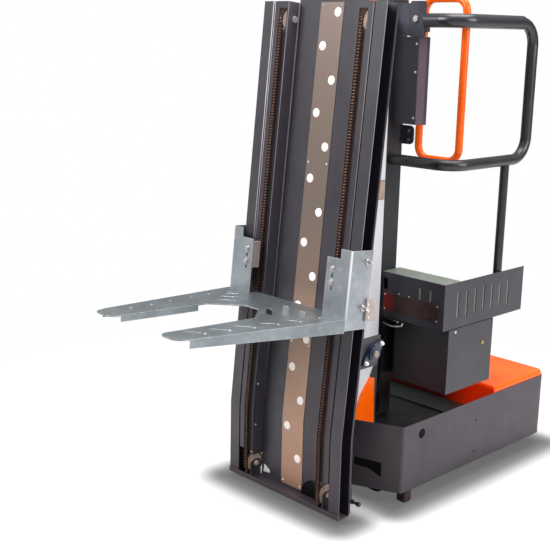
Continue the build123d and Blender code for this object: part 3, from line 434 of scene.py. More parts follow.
def channel_paint(name, dark, light, black, highlight):
    """Powder coat with a painted warm reflection low down, painted shade between two depths inside the
    roller channel and on its wall, and painted highlights on a cut edge and on the lip.
    """
    m = Shader(name)
    aside = m.aside()
    depth = m.mast_depth()
    # Painted warm reflection low down on the channel
    colour = m.warm_reflection(m.shade(dark, light), m.span(aside, 0.0, 1.0, *CHANNEL_WARM))
    # Inside the channel: painted shade with oil, streaked along it
    shadow_and_oil = m.mottled("1f1c25", "302c39", 12.0, 4.0, (1, 1, 0.1))
    inside = m.both(m.between(depth, *black), m.between(aside, *CHANNEL_INSIDE))
    colour = m.mix(inside, colour, shadow_and_oil)
    # Painted shade on the channel's inner wall
    wall = m.both(m.between(depth, *CHANNEL_WALL_DEPTH), m.between(aside, *CHANNEL_WALL))
    colour = m.mix(wall, colour, "0b0a0c")
    # Painted highlight on the channel's cut edge, weaker towards the floor
    edge = m.both(m.between(aside, *CHANNEL_EDGE, 0.0001), m.between(depth, *highlight))
    edge = m.both(edge, m.span(m.part("Z"), 0.25, 0.8, *CHANNEL_EDGE_FADE))
    colour = m.mix(edge, colour, "a09fac")
    # Painted highlight on the lip of the far channel, fading out towards the floor
    lip = m.both(m.between(m.part("X"), *CHANNEL_LIP), m.between(depth, *CHANNEL_LIP_DEPTH))
    lip = m.both(lip, m.along("Z", *CHANNEL_LIP_FADE), 0.9)
    colour = m.mix(lip, colour, "ece3e9")
    return m.finish(colour, m.gloss(*MAST_ROUGH), bump=m.grain(), strength=0.08, edge=0.0)


def masked_coat(name, dark, light, limits, tint, wear_and_highlight):
    """Powder coat with another tint between two distances from the machine's middle."""
    m = Shader(name)
    colour = m.worn_and_highlit(m.shade(dark, light), wear_and_highlight)
    place = m.both(m.between(m.aside(), *limits), m.span(m.noise(8.0), 0.85, 1.0))
    colour = m.mix(place, colour, tint)
    return m.finish(colour, m.gloss(*COAT_ROUGH), bump=m.grain())


def rivet_steel(name):
    """Bright rivets, screws and axle heads that glow a little as painted light; rivets in the upper mast
    are painted over.
    """
    m = Shader(name)
    colour = m.mottled("e4dedc", "fdfaf8", 60.0, 3.0)
    aside = m.aside()
    painted = m.both(m.between(m.part("Z"), *PAINTED_RIVETS_Z), m.between(aside, *PAINTED_RIVETS_X))
    colour = m.mix(painted, colour, "46434a")
    colour = m.mix(m.along("Z", *TOP_AXLES_Z), colour, "a89ea4")
    colour = m.mix(m.between(aside, *LOW_AXLES_X), colour, "cab6b1")
    m.painted_glow(colour, 0.2)
    gloss = m.span(m.noise(40.0), 0.25, 0.4)
    return m.finish(colour, gloss, bump=m.noise(700.0, 2.0), strength=0.05, metallic=0.1)


def sprocket_face(name, dark, light, s, painted_glow):
    """Bright machined face of a chain sprocket at height s of the mast, with oily teeth and a painted
    glow.
    """
    m = Shader(name)
    y, z = panel_yz(s, SPROCKET_DEPTH)
    off_y = m.math("SUBTRACT", m.part("Y"), (y - ORIGIN_Y) / 1000)
    off_z = m.math("SUBTRACT", m.part("Z"), z / 1000)
    teeth = m.span(m.distance(off_y, off_z), 0.0, 1.0, *TOOTH_ROOT)
    colour = m.mix(teeth, m.mottled(dark, light, 40.0), "38241c")
    m.painted_glow(colour, painted_glow)
    gloss = m.span(m.noise(60.0), 0.35, 0.5)
    return m.finish(colour, gloss, bump=m.noise(600.0, 2.0), strength=0.05, metallic=0.1)


def housing_paint(name, dark, light):
    """Orange housing with a painted shade on its front, redder and darkening towards the far side, and a
    painted glow.
    """
    m = Shader(name)
    front = m.span(m.part("Y"), 1.0, 0.0, *HOUSING_FRONT_END)
    # Painted shade: the front is redder
    colour = m.mix(front, m.mottled(dark, light, 5.0, 3.0), "fd3000")
    # Painted shade deepening towards the far side
    far_shade = m.both(front, m.span(m.part("X"), 0.97, 0.0, *HOUSING_FAR_SHADE))
    colour = m.mix(far_shade, colour, "230604")
    m.painted_glow(colour, 0.3)
    gloss = m.span(m.noise(20.0), 0.25, 0.35)
    return m.finish(colour, gloss, bump=m.noise(160.0, 2.0), strength=0.03, coat=0.2)


def rubber_foot(name):
    """Black rubber sheet above, darkened to near black as painted shade in the wheel gap; brown-grey
    moulded foot below.
    """
    m = Shader(name)
    foot = m.mottled("3a2f2f", "544645", 16.0)
    sheet = m.mottled("060506", "0e0d10", 9.0)
    colour = m.mix(m.along("Z", *FOOT_TOP), foot, sheet)
    gloss = m.span(m.noise(30.0), 0.45, 0.65)
    return m.finish(colour, gloss, bump=m.noise(1200.0, 2.0), strength=0.12, specular=0.1)


def galvanised_sheet(name, dark, light, tint, metallic, wear_and_highlight=0.7, fold_highlight=None):
    """Hot-dip zinc: cloudy shade, faint spangle cells, fine scratches, lighter edges that are part wear
    and part painted highlight, and a white painted highlight on a fold.
    """
    m = Shader(name)
    cells = m.node("ShaderNodeTexVoronoi", Scale=60.0)
    m.link(m.mapped(), cells.inputs["Vector"])
    grey = m.node("ShaderNodeSeparateColor")
    m.link(cells.outputs["Color"], grey.inputs["Color"])
    spangle = m.ramp(grey.outputs[0], [(0.0, dark), (1.0, light)])
    colour = m.mix(0.16, m.mottled(dark, light, 6.0, 5.0), spangle)
    colour = m.mix(m.span(m.noise(22.0, 5.0), 0.0, 0.25, 0.55, 0.75), colour, tint)
    colour = m.worn_and_highlit(colour, "f4f6f8", 0.0035, wear_and_highlight)
    # White painted highlight on the folded corner
    if fold_highlight:
        corner = m.both(m.between(m.mast_depth(), *fold_highlight), m.along("Z", *BRACKET_FADE))
        highlight = m.both(corner, m.between(m.aside(), *BRACKET_SIDE))
        colour = m.mix(highlight, colour, "ffffff")
    scratch = m.noise(500.0, 2.0, (0.06, 1, 1))
    gloss = m.span(m.noise(30.0), 0.3, 0.44)
    return m.finish(colour, gloss, bump=scratch, strength=0.05, metallic=metallic)


def brushed_metal(name, dark, light, rough=(0.2, 0.35), metallic=0.9, stretch=Shader.EVEN):
    """Metal with a fine grain, drawn out into lines along an axis whose stretch is small."""
    m = Shader(name)
    lines = m.noise(700.0, 3.0, stretch)
    colour = m.ramp(lines, [(0.3, dark), (0.7, light)])
    colour = m.mix(m.span(m.noise(4.0), 0.0, 0.3), colour, dark)
    return m.finish(colour, m.span(lines, *rough), bump=lines, strength=0.08, metallic=metallic)


def gloss_paint(name, dark, light, rough=(0.22, 0.32), coat=0.35, painted_glow=0.0):
    """Smooth paint with a faint orange-peel surface and an optional painted glow."""
    m = Shader(name)
    colour = m.mottled(dark, light, 5.0, 3.0)
    m.painted_glow(colour, painted_glow)
    gloss = m.span(m.noise(20.0), *rough)
    return m.finish(colour, gloss, bump=m.noise(160.0, 2.0), strength=0.03, coat=coat)


def moulded(name, dark, light, rough=(0.4, 0.6), specular=0.5):
    """Plastic or rubber with a fine grain."""
    m = Shader(name)
    colour = m.mottled(dark, light, 16.0)
    gloss = m.span(m.noise(30.0), *rough)
    return m.finish(colour, gloss, bump=m.noise(1200.0, 2.0), strength=0.12, specular=specular)


def chain_metal(name, dark, light, low, rough, metallic):
    """Oiled chain steel that is darker towards the floor."""
    m = Shader(name)
    colour = m.mottled(dark, light, 700.0, 3.0)
    colour = m.mix(m.span(m.part("Z"), 0.75, 0.0, *CHAIN_FADE), colour, low)
    gloss = m.span(m.noise(60.0), *rough)
    return m.finish(colour, gloss, bump=m.noise(700.0, 3.0), metallic=metallic)


def reflecting_strip(name):
    """Brushed stainless strip with a painted warm reflection that grows towards the floor."""
    m = Shader(name)
    lines = m.noise(800.0, 3.0, (1, 1, 0.02))
    reflected_tones = [(0.0, "cb9d83"), (0.3, "a98a76"), (0.6, "86776d"), (1.0, "917f77")]
    tone = m.ramp(m.along("Z", *STRIP_RANGE), reflected_tones)
    colour = m.mix(m.span(lines, 0.0, 0.22), tone, "4d443e")
    return m.finish(colour, m.span(lines, 0.32, 0.48), bump=lines, strength=0.05, metallic=0.35)


def plate_print(name):
    """Bare two-tone plate: a red field beside a dark one."""
    m = Shader(name)
    red = m.mottled("7d130e", "9c1d14", 60.0)
    dark = m.mottled("3a2320", "51332e", 40.0)
    colour = m.mix(m.along("X", *PLATE_FIELD), red, dark)
    return m.finish(colour, m.span(m.noise(90.0), 0.3, 0.45), strength=0.05, metallic=0.2)


# Powder coats
charcoal = powder_coat("charcoal_powder", "37343b", "444148", wear_and_highlight="8a868e")
chassis_grey = powder_coat("chassis_powder", "3f373f", "4b434b", edge=0.0)
foot_grey = powder_coat("foot_powder", "41383f", "4c4349", wear_and_highlight="8a868e")
dark_sheet = powder_coat("dark_powder", "2b2c30", "393a3f", wear_and_highlight="68696f")
bracket_grey = powder_coat("bracket_powder", "3b3c45", "4c4e5a", (0.25, 0.36), wear_and_highlight="8d93aa")
deck_black = powder_coat("deck_powder", "171b1a", "222725", wear_and_highlight="4a504e")
post_paint = powder_coat("post_powder", "202025", "292a30", wear_and_highlight="6d7080")
green_grey = powder_coat("green_grey_paint", "36423f", "434f4c", wear_and_highlight="6a7876")
panel_grey = mast_sheet("panel_powder", "37343b", "424046")
channel_grey = channel_paint("channel_powder", "3b3940", "47454b", CHANNEL_SHADE_DEPTH, CHANNEL_HIGHLIGHT)
lip_grey = channel_paint("lip_powder", "3b3940", "47454b", BACK_LIP_SHADE_DEPTH, BACK_LIP_HIGHLIGHT)
lug_grey = masked_coat("lug_powder", "4d464e", "5e5760", LUG_SCREWS, "1d0d0b", "6f6a6c")
# The cover's tint is a painted reflection on its rounded edge
cover_grey = masked_coat("cover_powder", "3c3940", "49464d", COVER_BEVEL_REFLECTION, "7b6773", "8a868e")

# Gloss paints
rail_paint = gloss_paint("rail_paint", "232327", "2e2e33", (0.28, 0.38), coat=0.1)
# The orange paint and the white nylon glow a little: painted light
orange = gloss_paint("orange_paint", "fd5c00", "ff6803", coat=0.05, painted_glow=0.24)
housing_orange = housing_paint("housing_orange", "fd5c00", "ff6803")
bearing_blue = gloss_paint("bearing_blue", "0f1d34", "243250", (0.3, 0.45))
white_nylon = gloss_paint("white_nylon", "f4e8e4", "fdf2ee", (0.3, 0.45), coat=0.0, painted_glow=0.32)
red_plastic = gloss_paint("red_plastic", "b0120d", "cf1c14", (0.18, 0.28))

# Metals
zinc = galvanised_sheet("galvanised", "8c9298", "adb3b9", "e4e8ec", 0.6, 1.0, BRACKET_FOLD_HIGHLIGHT)
deck_zinc = galvanised_sheet("galvanised_deck", "737a7e", "8f969a", "c4cace", 0.65)
lid_zinc = galvanised_sheet("galvanised_lid", "8b948a", "b0b8ac", "d8ddd2", 0.5)
aluminium = brushed_metal("bare_aluminium", "e2e2e8", "f6f6f9", (0.3, 0.45), 0.1, (1, 1, 0.02))
plated = brushed_metal("zinc_plated", "c2bdb8", "e6e2de", metallic=0.8)
chrome = brushed_metal("hard_chrome", "c4c5c8", "e6e7ea", (0.06, 0.14))
brass = brushed_metal("brass", "8d7a3a", "c8b568")
shaft_steel = brushed_metal("shaft_steel", "8d7f77", "b5a69c", (0.3, 0.5), 0.5)
chain_steel = chain_metal("oiled_chain", "361f17", "4c2f24", "1f0d08", (0.4, 0.6), 0.3)
roller_steel = chain_metal("chain_roller", "6b4837", "8c6550", "5c3524", (0.3, 0.45), 0.4)
# Sprocket faces glow a little: painted light
top_steel = sprocket_face("top_sprocket_steel", "c9ae9f", "e6cfc2", TOP_SPROCKET_S, 0.4)
low_steel = sprocket_face("low_sprocket_steel", "b89c8c", "dcc2b2", LOW_SPROCKET_S, 0.15)
strip_steel = reflecting_strip("strip_steel")
rivet_white = rivet_steel("rivet_white")

# Plastics, rubber and castings
anchor_cast = moulded("anchor_cast", "b9a7a4", "d3c5c0", (0.35, 0.5))
clamp_tan = moulded("clamp_tan", "a98f7c", "c2a996", (0.35, 0.5))
black_nylon = moulded("black_nylon", "0b0b0d", "161619", specular=0.12)
rubber = moulded("dark_rubber", "1f1b1b", "2e2827", (0.55, 0.75), specular=0.2)
foot_rubber = rubber_foot("foot_rubber")
label = plate_print("bare_plate")

finishes = {
    "chassis_tray": chassis_grey, "deck_plate": deck_black, "battery_cover": green_grey,
    "rear_housing": housing_orange, "battery_pack": black_nylon, "drive_motors": dark_sheet,
    "corner_feet": foot_rubber, "mast_brackets": orange, "mast_outer": aluminium,
    "lift_cylinder": dark_sheet, "fork_panel": panel_grey, "roller_channels": channel_grey,
    "panel_foot": foot_grey, "centre_strip": strip_steel, "glide_buttons": white_nylon,
    "panel_screws": rivet_white, "panel_stays": dark_sheet, "flange_bearings": bearing_blue,
    "lift_gearmotor": dark_sheet, "chain_left": chain_steel, "chain_right": chain_steel,
    "chain_shoes": black_nylon, "sprocket_mounts": lug_grey, "mast_inner": aluminium,
    "cylinder_rod": chrome, "platform_post": post_paint, "post_shoes": black_nylon,
    "platform_tray": charcoal, "floor_mat": rubber, "tray_lids": lid_zinc,
    "label_plate": label, "under_box": charcoal, "box_cover": charcoal,
    "guard_rails": rail_paint, "rail_brackets": bracket_grey, "control_covers": cover_grey,
    "cover_screws": plated, "console": black_nylon, "post_cable": rubber,
    "gate_left": orange, "gate_right": orange, "joystick": black_nylon,
    "lift_rocker": black_nylon, "emergency_stop": red_plastic, "cover_lock": brass,
    "carriage_brackets": zinc, "fork_deck": deck_zinc, "carriage_bolts": plated,
    "chain_anchors": anchor_cast, "upper_rollers": black_nylon, "lower_rollers": black_nylon,
    "top_sprockets": top_steel, "bottom_sprockets": low_steel, "drive_shaft": shaft_steel,
    "caster_fork_left": plated, "caster_fork_right": plated, "caster_wheel_left": rubber,
    "caster_wheel_right": rubber, "drive_wheel_left": rubber, "drive_wheel_right": rubber,
}
for name, finish in finishes.items():
    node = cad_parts[name]
    node.data.materials.clear()
    node.data.materials.append(finish)


def piece(name, vertices, faces, looks, body, slot, pick=None):
    """A mesh piece that rides on a body. pick gives the look of each face if there are several."""
    mesh = bpy.data.meshes.new(name)
    mesh.from_pydata([tuple(v) for v in vertices], [], faces)
    for look in looks:
        mesh.materials.append(look)
    if pick:
        mesh.polygons.foreach_set("material_index", pick)
    made = bpy.data.objects.new(name, mesh)
    bpy.context.scene.collection.objects.link(made)
    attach(made, body)
    return made


def chain_route():
    """Chain pin centres round the loop in side view, from a belt line over its circles."""
    bend = kink_yz(BEND_R - CHAIN_N)
    circles = [
        (*panel_yz(LOW_SPROCKET_S, SPROCKET_DEPTH), SPROCKET_R), (*bend, BEND_R),
        (*panel_yz(TOP_SPROCKET_S, SPROCKET_DEPTH), SPROCKET_R),
        (*DRIVE_SPROCKET, SPROCKET_R), (*SHOE, -SHOE_R)]
    count = len(circles)
    heading = []
    for i in range(count):
        y0, z0, r0 = circles[i]
        y1, z1, r1 = circles[(i + 1) % count]
        slope = atan2(z1 - z0, y1 - y0)
        heading.append(slope - asin((r0 - r1) / hypot(y1 - y0, z1 - z0)))
    line = []
    for i in range(count):
        y, z, r = circles[i]
        turn = (heading[i] - heading[i - 1]) % (2 * pi)
        if r > 0:
            turn -= 2 * pi
        steps = max(4, int(abs(turn * r) / ROUTE_STEP))
        for k in range(steps + 1):
            angle = heading[i - 1] + turn * k / steps
            line.append((y - r * sin(angle), z + r * cos(angle)))
    line.append(line[0])
    line = np.array(line)
    run = np.concatenate([[0], np.cumsum(np.hypot(*np.diff(line, axis=0).T))])
    links = 2 * round(run[-1] / PITCH / 2)
    places = np.arange(links) * run[-1] / links
    return np.stack([np.interp(places, run, line[:, k]) for k in (0, 1)], axis=1)


def ring(count, radius):
    """Points round a circle."""
    turns = [2 * pi * k / count for k in range(count)]
    return [(radius * cos(turn), radius * sin(turn)) for turn in turns]


def plate_faces(count):
    """Faces of a closed plate whose two outlines of count points follow each other."""
    faces = [list(range(count - 1, -1, -1)), list(range(count, 2 * count))]
    for k in range(count):
        following = (k + 1) % count
        faces.append([k, following, count + following, count + k])
    return faces


def prism(outline, x0, x1):
    """A solid from a side-view outline (along, up), between two places across."""
    points = [(x, a, b) for x in (x0, x1) for a, b in outline]
    return points, plate_faces(len(outline))


def link_outline(radius, waist):
    """Side view of a link plate with two round ends and a narrow waist."""
    left, right = [], []
    for angle in np.linspace(LINK_OPEN, 2 * pi - LINK_OPEN, LINK_POINTS):
        left.append((radius * cos(angle), radius * sin(angle)))
    for angle in np.linspace(LINK_OPEN - pi, pi - LINK_OPEN, LINK_POINTS):
        right.append((PITCH + radius * cos(angle), radius * sin(angle)))
    return left + [(PITCH / 2, -waist)] + right + [(PITCH / 2, waist)]


def link_plates(link, plate):
    """The two plates of a link, on either side of the chain's middle."""
    outline = link_outline(*link)
    near, far = plate
    return [prism(outline, -far, -near), prism(outline, near, far)]


def detailed_chain(name, across, replaced):
    """A whole roller chain: plates in pairs, rollers and pin ends."""
    vertices, faces, pick = [], [], []

    def add(shape, place, angle, look):
        base = len(vertices)
        for x, a, b in shape[0]:
            y = place[0] + a * cos(angle) - b * sin(angle)
            z = place[1] + a * sin(angle) + b * cos(angle)
            vertices.append(at(across + x, y, z))
        faces.extend([[base + k for k in face] for face in shape[1]])
        pick.extend([look] * len(shape[1]))

    links = [link_plates(INNER_LINK, INNER_PLATE), link_plates(OUTER_LINK, OUTER_PLATE)]
    roller = prism(ring(ROLLER_SIDES, ROLLER_R), -ROLLER_HALF, ROLLER_HALF)
    pin = prism(ring(PIN_SIDES, PIN_R), -PIN_HALF, PIN_HALF)
    pins = chain_route()
    for i, here in enumerate(pins):
        there = pins[(i + 1) % len(pins)]
        angle = atan2(there[1] - here[1], there[0] - here[0])
        for plate in links[i % 2]:
            add(plate, here, angle, 0)
        add(roller, here, angle, 1)
        add(pin, here, angle, 1)
    looks = [chain_steel, roller_steel]
    made = piece(name, vertices, faces, looks, "chassis", "chain_steel", pick)
    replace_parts(made, replaced)


detailed_chain("roller_chain_left", -CHAIN_X, "chain_left")
detailed_chain("roller_chain_right", CHAIN_X, "chain_right")


def mast_lip(name, side, profile, low, look):
    """A rolled lip of sheet along the fork mast, from a profile (x, depth), bent with the mast."""
    points = []
    for s in (low, KINK_S, PANEL_HIGH):
        for x, depth in profile:
            y, z = kink_yz(depth) if s == KINK_S else panel_yz(s, depth)
            points.append(at(side * x, y, z))
    count = len(profile)
    faces = [list(range(count)), list(range(3 * count - 1, 2 * count - 1, -1))]
    for row in (0, count):
        for k in range(count):
            following = (k + 1) % count
            faces.append([row + k, row + count + k, row + count + following, row + following])
    if side < 0:
        faces = [face[::-1] for face in faces]
    piece(name, points, faces, [look], "chassis", "charcoal")


# Turned outer edge of each chain strip, and the rolled back edge of each roller channel
strip_profile = [
    (272.0, 0.0), (281.5, 0.0), (283.2, 0.7), (284.0, 2.4), (284.0, 16.0), (282.0, 16.0),
    (282.0, 2.8), (272.0, 1.9)]
channel_profile = [
    (346.5, 66.0), (350.0, 66.0), (350.0, 73.4), (349.4, 74.4), (348.2, 74.8), (346.5, 74.8)]
for side, word in ((-1, "left"), (1, "right")):
    mast_lip("strip_lip_" + word, side, strip_profile, STRIP_LOW, panel_grey)
    mast_lip("channel_lip_" + word, side, channel_profile, CHANNEL_LOW, lip_grey)

# White glide caps in two staggered rows on the stainless strip; the profile is (radius, rise)
CAP_COUNT = 15
CAP_X = 35.0
CAP_TOP_S = 2131.0
CAP_STEP = 140.5
CAP_SEAT = -62.0
CAP_PROFILE = [(19.5, 0.05), (19.5, 1.6), (17.5, 3.0), (12.0, 3.8), (5.0, 4.1)]
CAP_SIDES = 24


def domed_caps():
    """The glide caps, domed towards the middle."""
    points, faces = [], []
    for i in range(CAP_COUNT):
        x = CAP_X if i % 2 == 0 else -CAP_X
        s = CAP_TOP_S - i * CAP_STEP
        base = len(points)
        for radius, rise in CAP_PROFILE:
            for a, b in ring(CAP_SIDES, radius):
                points.append(panel_at(x + a, s + b, CAP_SEAT + rise))
        top = base + (len(CAP_PROFILE) - 1) * CAP_SIDES
        for row in range(base, top, CAP_SIDES):
            for k in range(CAP_SIDES):
                low, following = row + k, row + (k + 1) % CAP_SIDES
                faces.append([low, following, following + CAP_SIDES, low + CAP_SIDES])
        faces.append(list(range(top, top + CAP_SIDES)))
    return points, faces


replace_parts(piece("glide_caps", *domed_caps(), [white_nylon], "chassis", "white_nylon"), "glide_buttons")


def bar(corners, thickness):
    """A thin closed plate on a ring of corner points, thickened along a vector."""
    points = list(corners) + [corner + thickness for corner in corners]
    return points, plate_faces(len(corners))


# Pad of the mast clamp with cut corners, on the near side of the mast
PAD_X = 128.1
PAD_LOW = (431, 1344)
PAD_HIGH = (471, 1426)
PAD_CUT = 6
PAD_THICKNESS = 0.6


def cut_corners(low, high, cut):
    """Outline of a rectangle between two corners, with its corners cut off."""
    (y0, z0), (y1, z1) = low, high
    return [
        (y0, z0 + cut), (y0 + cut, z0), (y1 - cut, z0), (y1, z0 + cut),
        (y1, z1 - cut), (y1 - cut, z1), (y0 + cut, z1), (y0, z1 - cut)]


pad_corners = [at(PAD_X, y, z) for y, z in cut_corners(PAD_LOW, PAD_HIGH, PAD_CUT)]
pad = bar(pad_corners, Vector((PAD_THICKNESS, 0, 0)) / 1000)
piece("clamp_pad", *pad, [clamp_tan], "chassis", "dark_sheet")

# Stamped ribs of the fork deck, between places (x, d); the section is (share of width, of rise)
# A rib swells along a wave from RIB_END of it, and keeps at least RIB_NARROW of its width
RIB_WIDTH = 5.0
RIB_RISE = 1.6
RIB_STEPS = 10
RIB_END = 0.06
RIB_NARROW = 0.45
RIB_SECTION = [(-0.5, 0.0), (-0.22, 0.85), (0.0, 1.0), (0.22, 0.85), (0.5, 0.0)]
DECK_GAP = 0.02
NEAR_RIBS = [
    ((172, 749), (222, 706)), ((189, 645), (236, 594)), ((198, 530), (252, 482)),
    ((220, 414), (262, 364)), ((236, 286), (276, 254))]
FAR_RIBS = [((-261, 173), (-220, 121)), ((-230, 236), (-173, 171)), ((-182, 285), (-122, 224))]


def stamped_rib(name, start, end):
    """A low stamped ridge on the fork deck between two places, with sloped sides."""
    length = hypot(end[0] - start[0], end[1] - start[1])
    along = ((end[0] - start[0]) / length, (end[1] - start[1]) / length)
    across = (-along[1], along[0])
    points, faces = [], []
    for i in range(RIB_STEPS + 1):
        reach = i / RIB_STEPS
        swell = sin(pi * (RIB_END + (1 - 2 * RIB_END) * reach))
        x = start[0] + along[0] * length * reach
        d = start[1] + along[1] * length * reach
        for part, up in RIB_SECTION:
            shift = part * RIB_WIDTH * (RIB_NARROW + (1 - RIB_NARROW) * swell)
            height = DECK_GAP + up * RIB_RISE * swell
            points.append(deck_at(x + across[0] * shift, d + across[1] * shift, height))
    count = len(RIB_SECTION)
    for i in range(RIB_STEPS):
        for k in range(count - 1):
            low = i * count + k
            faces.append([low, low + 1, low + count + 1, low + count])
    piece(name, points, faces, [deck_zinc], "fork_carriage", "galvanised")


for i, (start, end) in enumerate(NEAR_RIBS + FAR_RIBS):
    stamped_rib("deck_rib_%d" % (i + 1), start, end)

# Upright tabs of the fork deck
TAB_THICKNESS = 4.8
TAB_CUT = 5.0


def deck_tab(name, x, d, width, rise, looks, pick=None):
    """An upright tab of the fork deck with cut top corners; pick gives the look of its faces."""
    half = width / 2
    outline = [
        (-half, DECK_GAP), (half, DECK_GAP), (half, rise - TAB_CUT), (half - TAB_CUT, rise),
        (TAB_CUT - half, rise), (-half, rise - TAB_CUT)]
    corners = [deck_at(x + a, d + TAB_THICKNESS / 2, h) for a, h in outline]
    back = deck_at(0, -TAB_THICKNESS, 0) - deck_at(0, 0, 0)
    piece(name, *bar(corners, back), looks, "fork_carriage", "galvanised", pick)


# The first tab's front and sides are dark rubber: a painted shadow
deck_tab("deck_tab_1", 126, 272, 30, 22, [zinc, rubber], [1, 0, 0, 1, 0, 0, 0, 1])
deck_tab("deck_tab_2", 147, 198, 32, 30, [zinc])
deck_tab("deck_tab_3", 220, 175, 30, 20, [zinc])

# Two short pipes under the platform tray, from the post towards the front wall
PIPE_R = 3.7
PIPE_SIDES = 10
PIPE_STEPS = 8
PIPE_END = 0.6
PIPE_UPRIGHT = Vector((0.3, 0.2, 0.9))
PIPES = {
    "tray_pipe_1": [(44, 582, 762), (94, 585, 763), (140, 572, 765), (176, 553, 768)],
    "tray_pipe_2": [
        (51, 582, 744), (100, 556, 745), (150, 541, 747), (200, 541, 757), (206, 552, 770)],
}


def smooth_line(line):
    """A smooth line through points, with even steps between them."""
    fine = []
    for i in range(len(line) - 1):
        before, after = line[max(i - 1, 0)], line[min(i + 2, len(line) - 1)]
        a, b = line[i], line[i + 1]
        for k in range(PIPE_STEPS):
            u = k / PIPE_STEPS
            square = (2 * before - 5 * a + 4 * b - after) * u * u
            cube = (3 * a - before - 3 * b + after) * u ** 3
            fine.append(0.5 * (2 * a + (b - before) * u + square + cube))
    return fine + [line[-1]]


def swept(points):
    """A round pipe through points, with rounded ends."""
    line = smooth_line(points)
    vertices, faces = [], []
    last = len(line) - 1
    for i, place in enumerate(line):
        along = (line[min(i + 1, last)] - line[max(i - 1, 0)]).normalized()
        side = along.cross(PIPE_UPRIGHT).normalized()
        over = side.cross(along)
        share = PIPE_END if i in (0, last) else 1.0
        for a, b in ring(PIPE_SIDES, share * PIPE_R / 1000):
            vertices.append(place + side * a + over * b)
    for row in range(0, last * PIPE_SIDES, PIPE_SIDES):
        for k in range(PIPE_SIDES):
            low, following = row + k, row + (k + 1) % PIPE_SIDES
            faces.append([low, following, following + PIPE_SIDES, low + PIPE_SIDES])
    faces.append(list(range(PIPE_SIDES - 1, -1, -1)))
    faces.append(list(range(last * PIPE_SIDES, (last + 1) * PIPE_SIDES)))
    return vertices, faces


for name, run in PIPES.items():
    piece(name, *swept([at(*spot) for spot in run]), [plated], "platform", "bright_steel")

# Camera at the photograph's place
CAMERA_AT = at(3054.84, -3016.03, 2065.80)
AZIMUTH = radians(46.02457)
ELEVATION = radians(13.42155)
ROLL = radians(1.19254)
back = Vector((sin(AZIMUTH) * cos(ELEVATION), -cos(AZIMUTH) * cos(ELEVATION), sin(ELEVATION)))
level = (-back).cross(Vector((0, 0, 1))).normalized()
upright = level.cross(-back)
right = cos(ROLL) * level + sin(ROLL) * upright
up = cos(ROLL) * upright - sin(ROLL) * level
view = bpy.data.cameras.new("view")
view.lens = 67.345
view.sensor_width = 36.0
view.sensor_fit = "HORIZONTAL"
view.clip_end = 100.0
camera = bpy.data.objects.new("camera", view)
turned = Matrix((right, up, back)).transposed().to_4x4()
camera.matrix_world = Matrix.Translation(CAMERA_AT) @ turned
bpy.context.scene.collection.objects.link(camera)
bpy.context.scene.camera = camera

# Pale floor with a painted contact shadow that dies out a hand's width from the mast and the chassis
# Their footprints are (half width, front, back)
FLOOR_HALF = 30
FOOTPRINTS = [(350.0, -5.0, 66.0), (404.0, 300.0, 1480.0)]
SHADE_REACH = 0.15
SHADES = [
    (0.0, "787a78"), (0.33, "8e8f8e"), (0.5, "a9a9a9"), (0.63, "c4c4c4"), (0.76, "dcdcdc"),
    (1.0, "ffffff")]
WHITE_FROM = (1.5, 2.6)
WHITE = (1.0, 1.0, 1.0, 1.0)
FLOOR_SHINE = 0.7
corners = [(-1, -1), (1, -1), (1, 1), (-1, 1)]
floor_mesh = bpy.data.meshes.new("studio_floor")
floor_corners = [(FLOOR_HALF * x, FLOOR_HALF * y, 0) for x, y in corners]
floor_mesh.from_pydata(floor_corners, [], [(0, 1, 2, 3)])
floor = bpy.data.objects.new("studio_floor", floor_mesh)
bpy.context.scene.collection.objects.link(floor)
ground = Shader("pale_floor")


def clear_of(x_half, y0, y1):
    """Distance on the floor from a rectangle across the middle of the machine, in metres."""
    middle = (y0 + y1) / 2000 - ORIGIN_Y / 1000
    along = ground.math("ABSOLUTE", ground.math("SUBTRACT", ground.part("Y"), middle))
    off_x = ground.math("SUBTRACT", ground.aside(), x_half / 1000)
    off_y = ground.math("SUBTRACT", along, (y1 - y0) / 2000)
    return ground.distance(ground.math("MAXIMUM", off_x, 0.0), ground.math("MAXIMUM", off_y, 0.0))


tone = ground.mottled("fafafa", "ffffff", 0.7, 2.0)
for footprint in FOOTPRINTS:
    shade = ground.ramp(ground.span(clear_of(*footprint), 0.0, 1.0, 0.0, SHADE_REACH), SHADES)
    tone = ground.mix(1.0, tone, shade, "MULTIPLY")
rays = ground.node("ShaderNodeLightPath")
seen_ray = rays.outputs["Is Camera Ray"]
tone = ground.mix(ground.math("MAXIMUM", seen_ray, rays.outputs["Is Glossy Ray"]), "747474", tone)
gloss = ground.span(ground.noise(3.0), 0.7, 0.85)
floor_mesh.materials.append(ground.finish(tone, gloss, edge=0.0, specular=0.1))
away = ground.node("ShaderNodeVectorMath", operation="LENGTH")
ground.link(ground.coords, away.inputs[0])
far = ground.span(away.outputs["Value"], 0.0, 1.0, *WHITE_FROM)
# Camera rays see mostly the floor's glow, which carries the painted shadow and is white far away
glow = ground.node("ShaderNodeEmission", Strength=1.0)
ground.link(ground.mix(far, tone, WHITE), glow.inputs["Color"])
mixed = ground.node("ShaderNodeMixShader")
ground.link(ground.both(ground.math("MAXIMUM", far, FLOOR_SHINE), seen_ray), mixed.inputs[0])
ground.link(ground.bsdf.outputs["BSDF"], mixed.inputs[1])
ground.link(glow.outputs["Emission"], mixed.inputs[2])
ground.link(mixed.outputs["Shader"], ground.tree.nodes["Material Output"].inputs["Surface"])

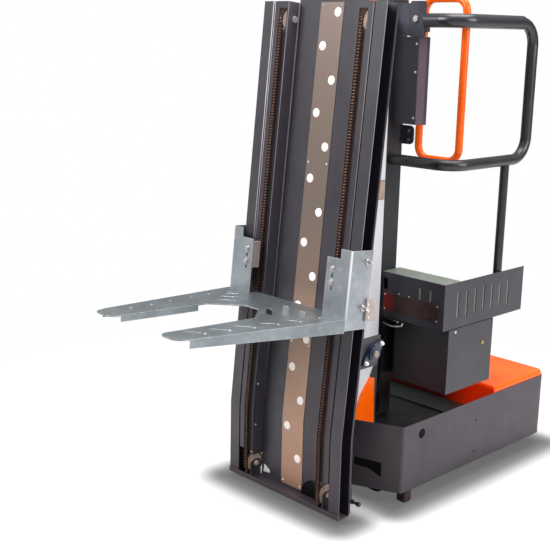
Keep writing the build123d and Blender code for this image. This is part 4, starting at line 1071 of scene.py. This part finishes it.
# White surroundings that light the machine more from above
SKY_LIGHT = {"From Min": 0.0, "From Max": 0.9, "To Min": 0.11, "To Max": 0.7}
world = bpy.data.worlds.new("studio")
bpy.context.scene.world = world
world.use_nodes = True
sky = world.node_tree
sky.nodes.clear()
path = sky.nodes.new("ShaderNodeLightPath")
seen = sky.nodes.new("ShaderNodeMath")
seen.operation = "MAXIMUM"
sky.links.new(path.outputs["Is Camera Ray"], seen.inputs[0])
sky.links.new(path.outputs["Is Transmission Ray"], seen.inputs[1])
facing = sky.nodes.new("ShaderNodeTexCoord")
rise = sky.nodes.new("ShaderNodeSeparateXYZ")
sky.links.new(facing.outputs["Generated"], rise.inputs["Vector"])
dome = sky.nodes.new("ShaderNodeMapRange")
for key, value in SKY_LIGHT.items():
    dome.inputs[key].default_value = value
sky.links.new(rise.outputs["Z"], dome.inputs["Value"])
ambient = sky.nodes.new("ShaderNodeBackground")
ambient.inputs["Color"].default_value = WHITE
sky.links.new(dome.outputs["Result"], ambient.inputs["Strength"])
backdrop = sky.nodes.new("ShaderNodeBackground")
backdrop.inputs["Color"].default_value = WHITE
backdrop.inputs["Strength"].default_value = 1.0
blend = sky.nodes.new("ShaderNodeMixShader")
sky.links.new(seen.outputs[0], blend.inputs[0])
sky.links.new(ambient.outputs[0], blend.inputs[1])
sky.links.new(backdrop.outputs[0], blend.inputs[2])
out = sky.nodes.new("ShaderNodeOutputWorld")
sky.links.new(blend.outputs[0], out.inputs["Surface"])


def lamp(name, place, target, size, power):
    """A large soft area lamp aimed at a point."""
    data = bpy.data.lights.new(name, "AREA")
    data.shape = "RECTANGLE"
    data.size, data.size_y = size
    data.energy = power
    made = bpy.data.objects.new(name, data)
    made.location = place
    made.rotation_euler = (Vector(target) - Vector(place)).to_track_quat("-Z", "Y").to_euler()
    bpy.context.scene.collection.objects.link(made)


lamp("key", (-1.8, -4.2, 4.4), (0, 0, 1.0), (2.5, 2.5), 255)
lamp("side", (4.8, 1.2, 3.2), (0, 0.1, 0.9), (2.5, 3.0), 165)
lamp("top", (0.6, 0.6, 6.0), (0, 0.1, 0.8), (3.5, 3.5), 260)

bpy.context.scene.view_settings.view_transform = "Standard"
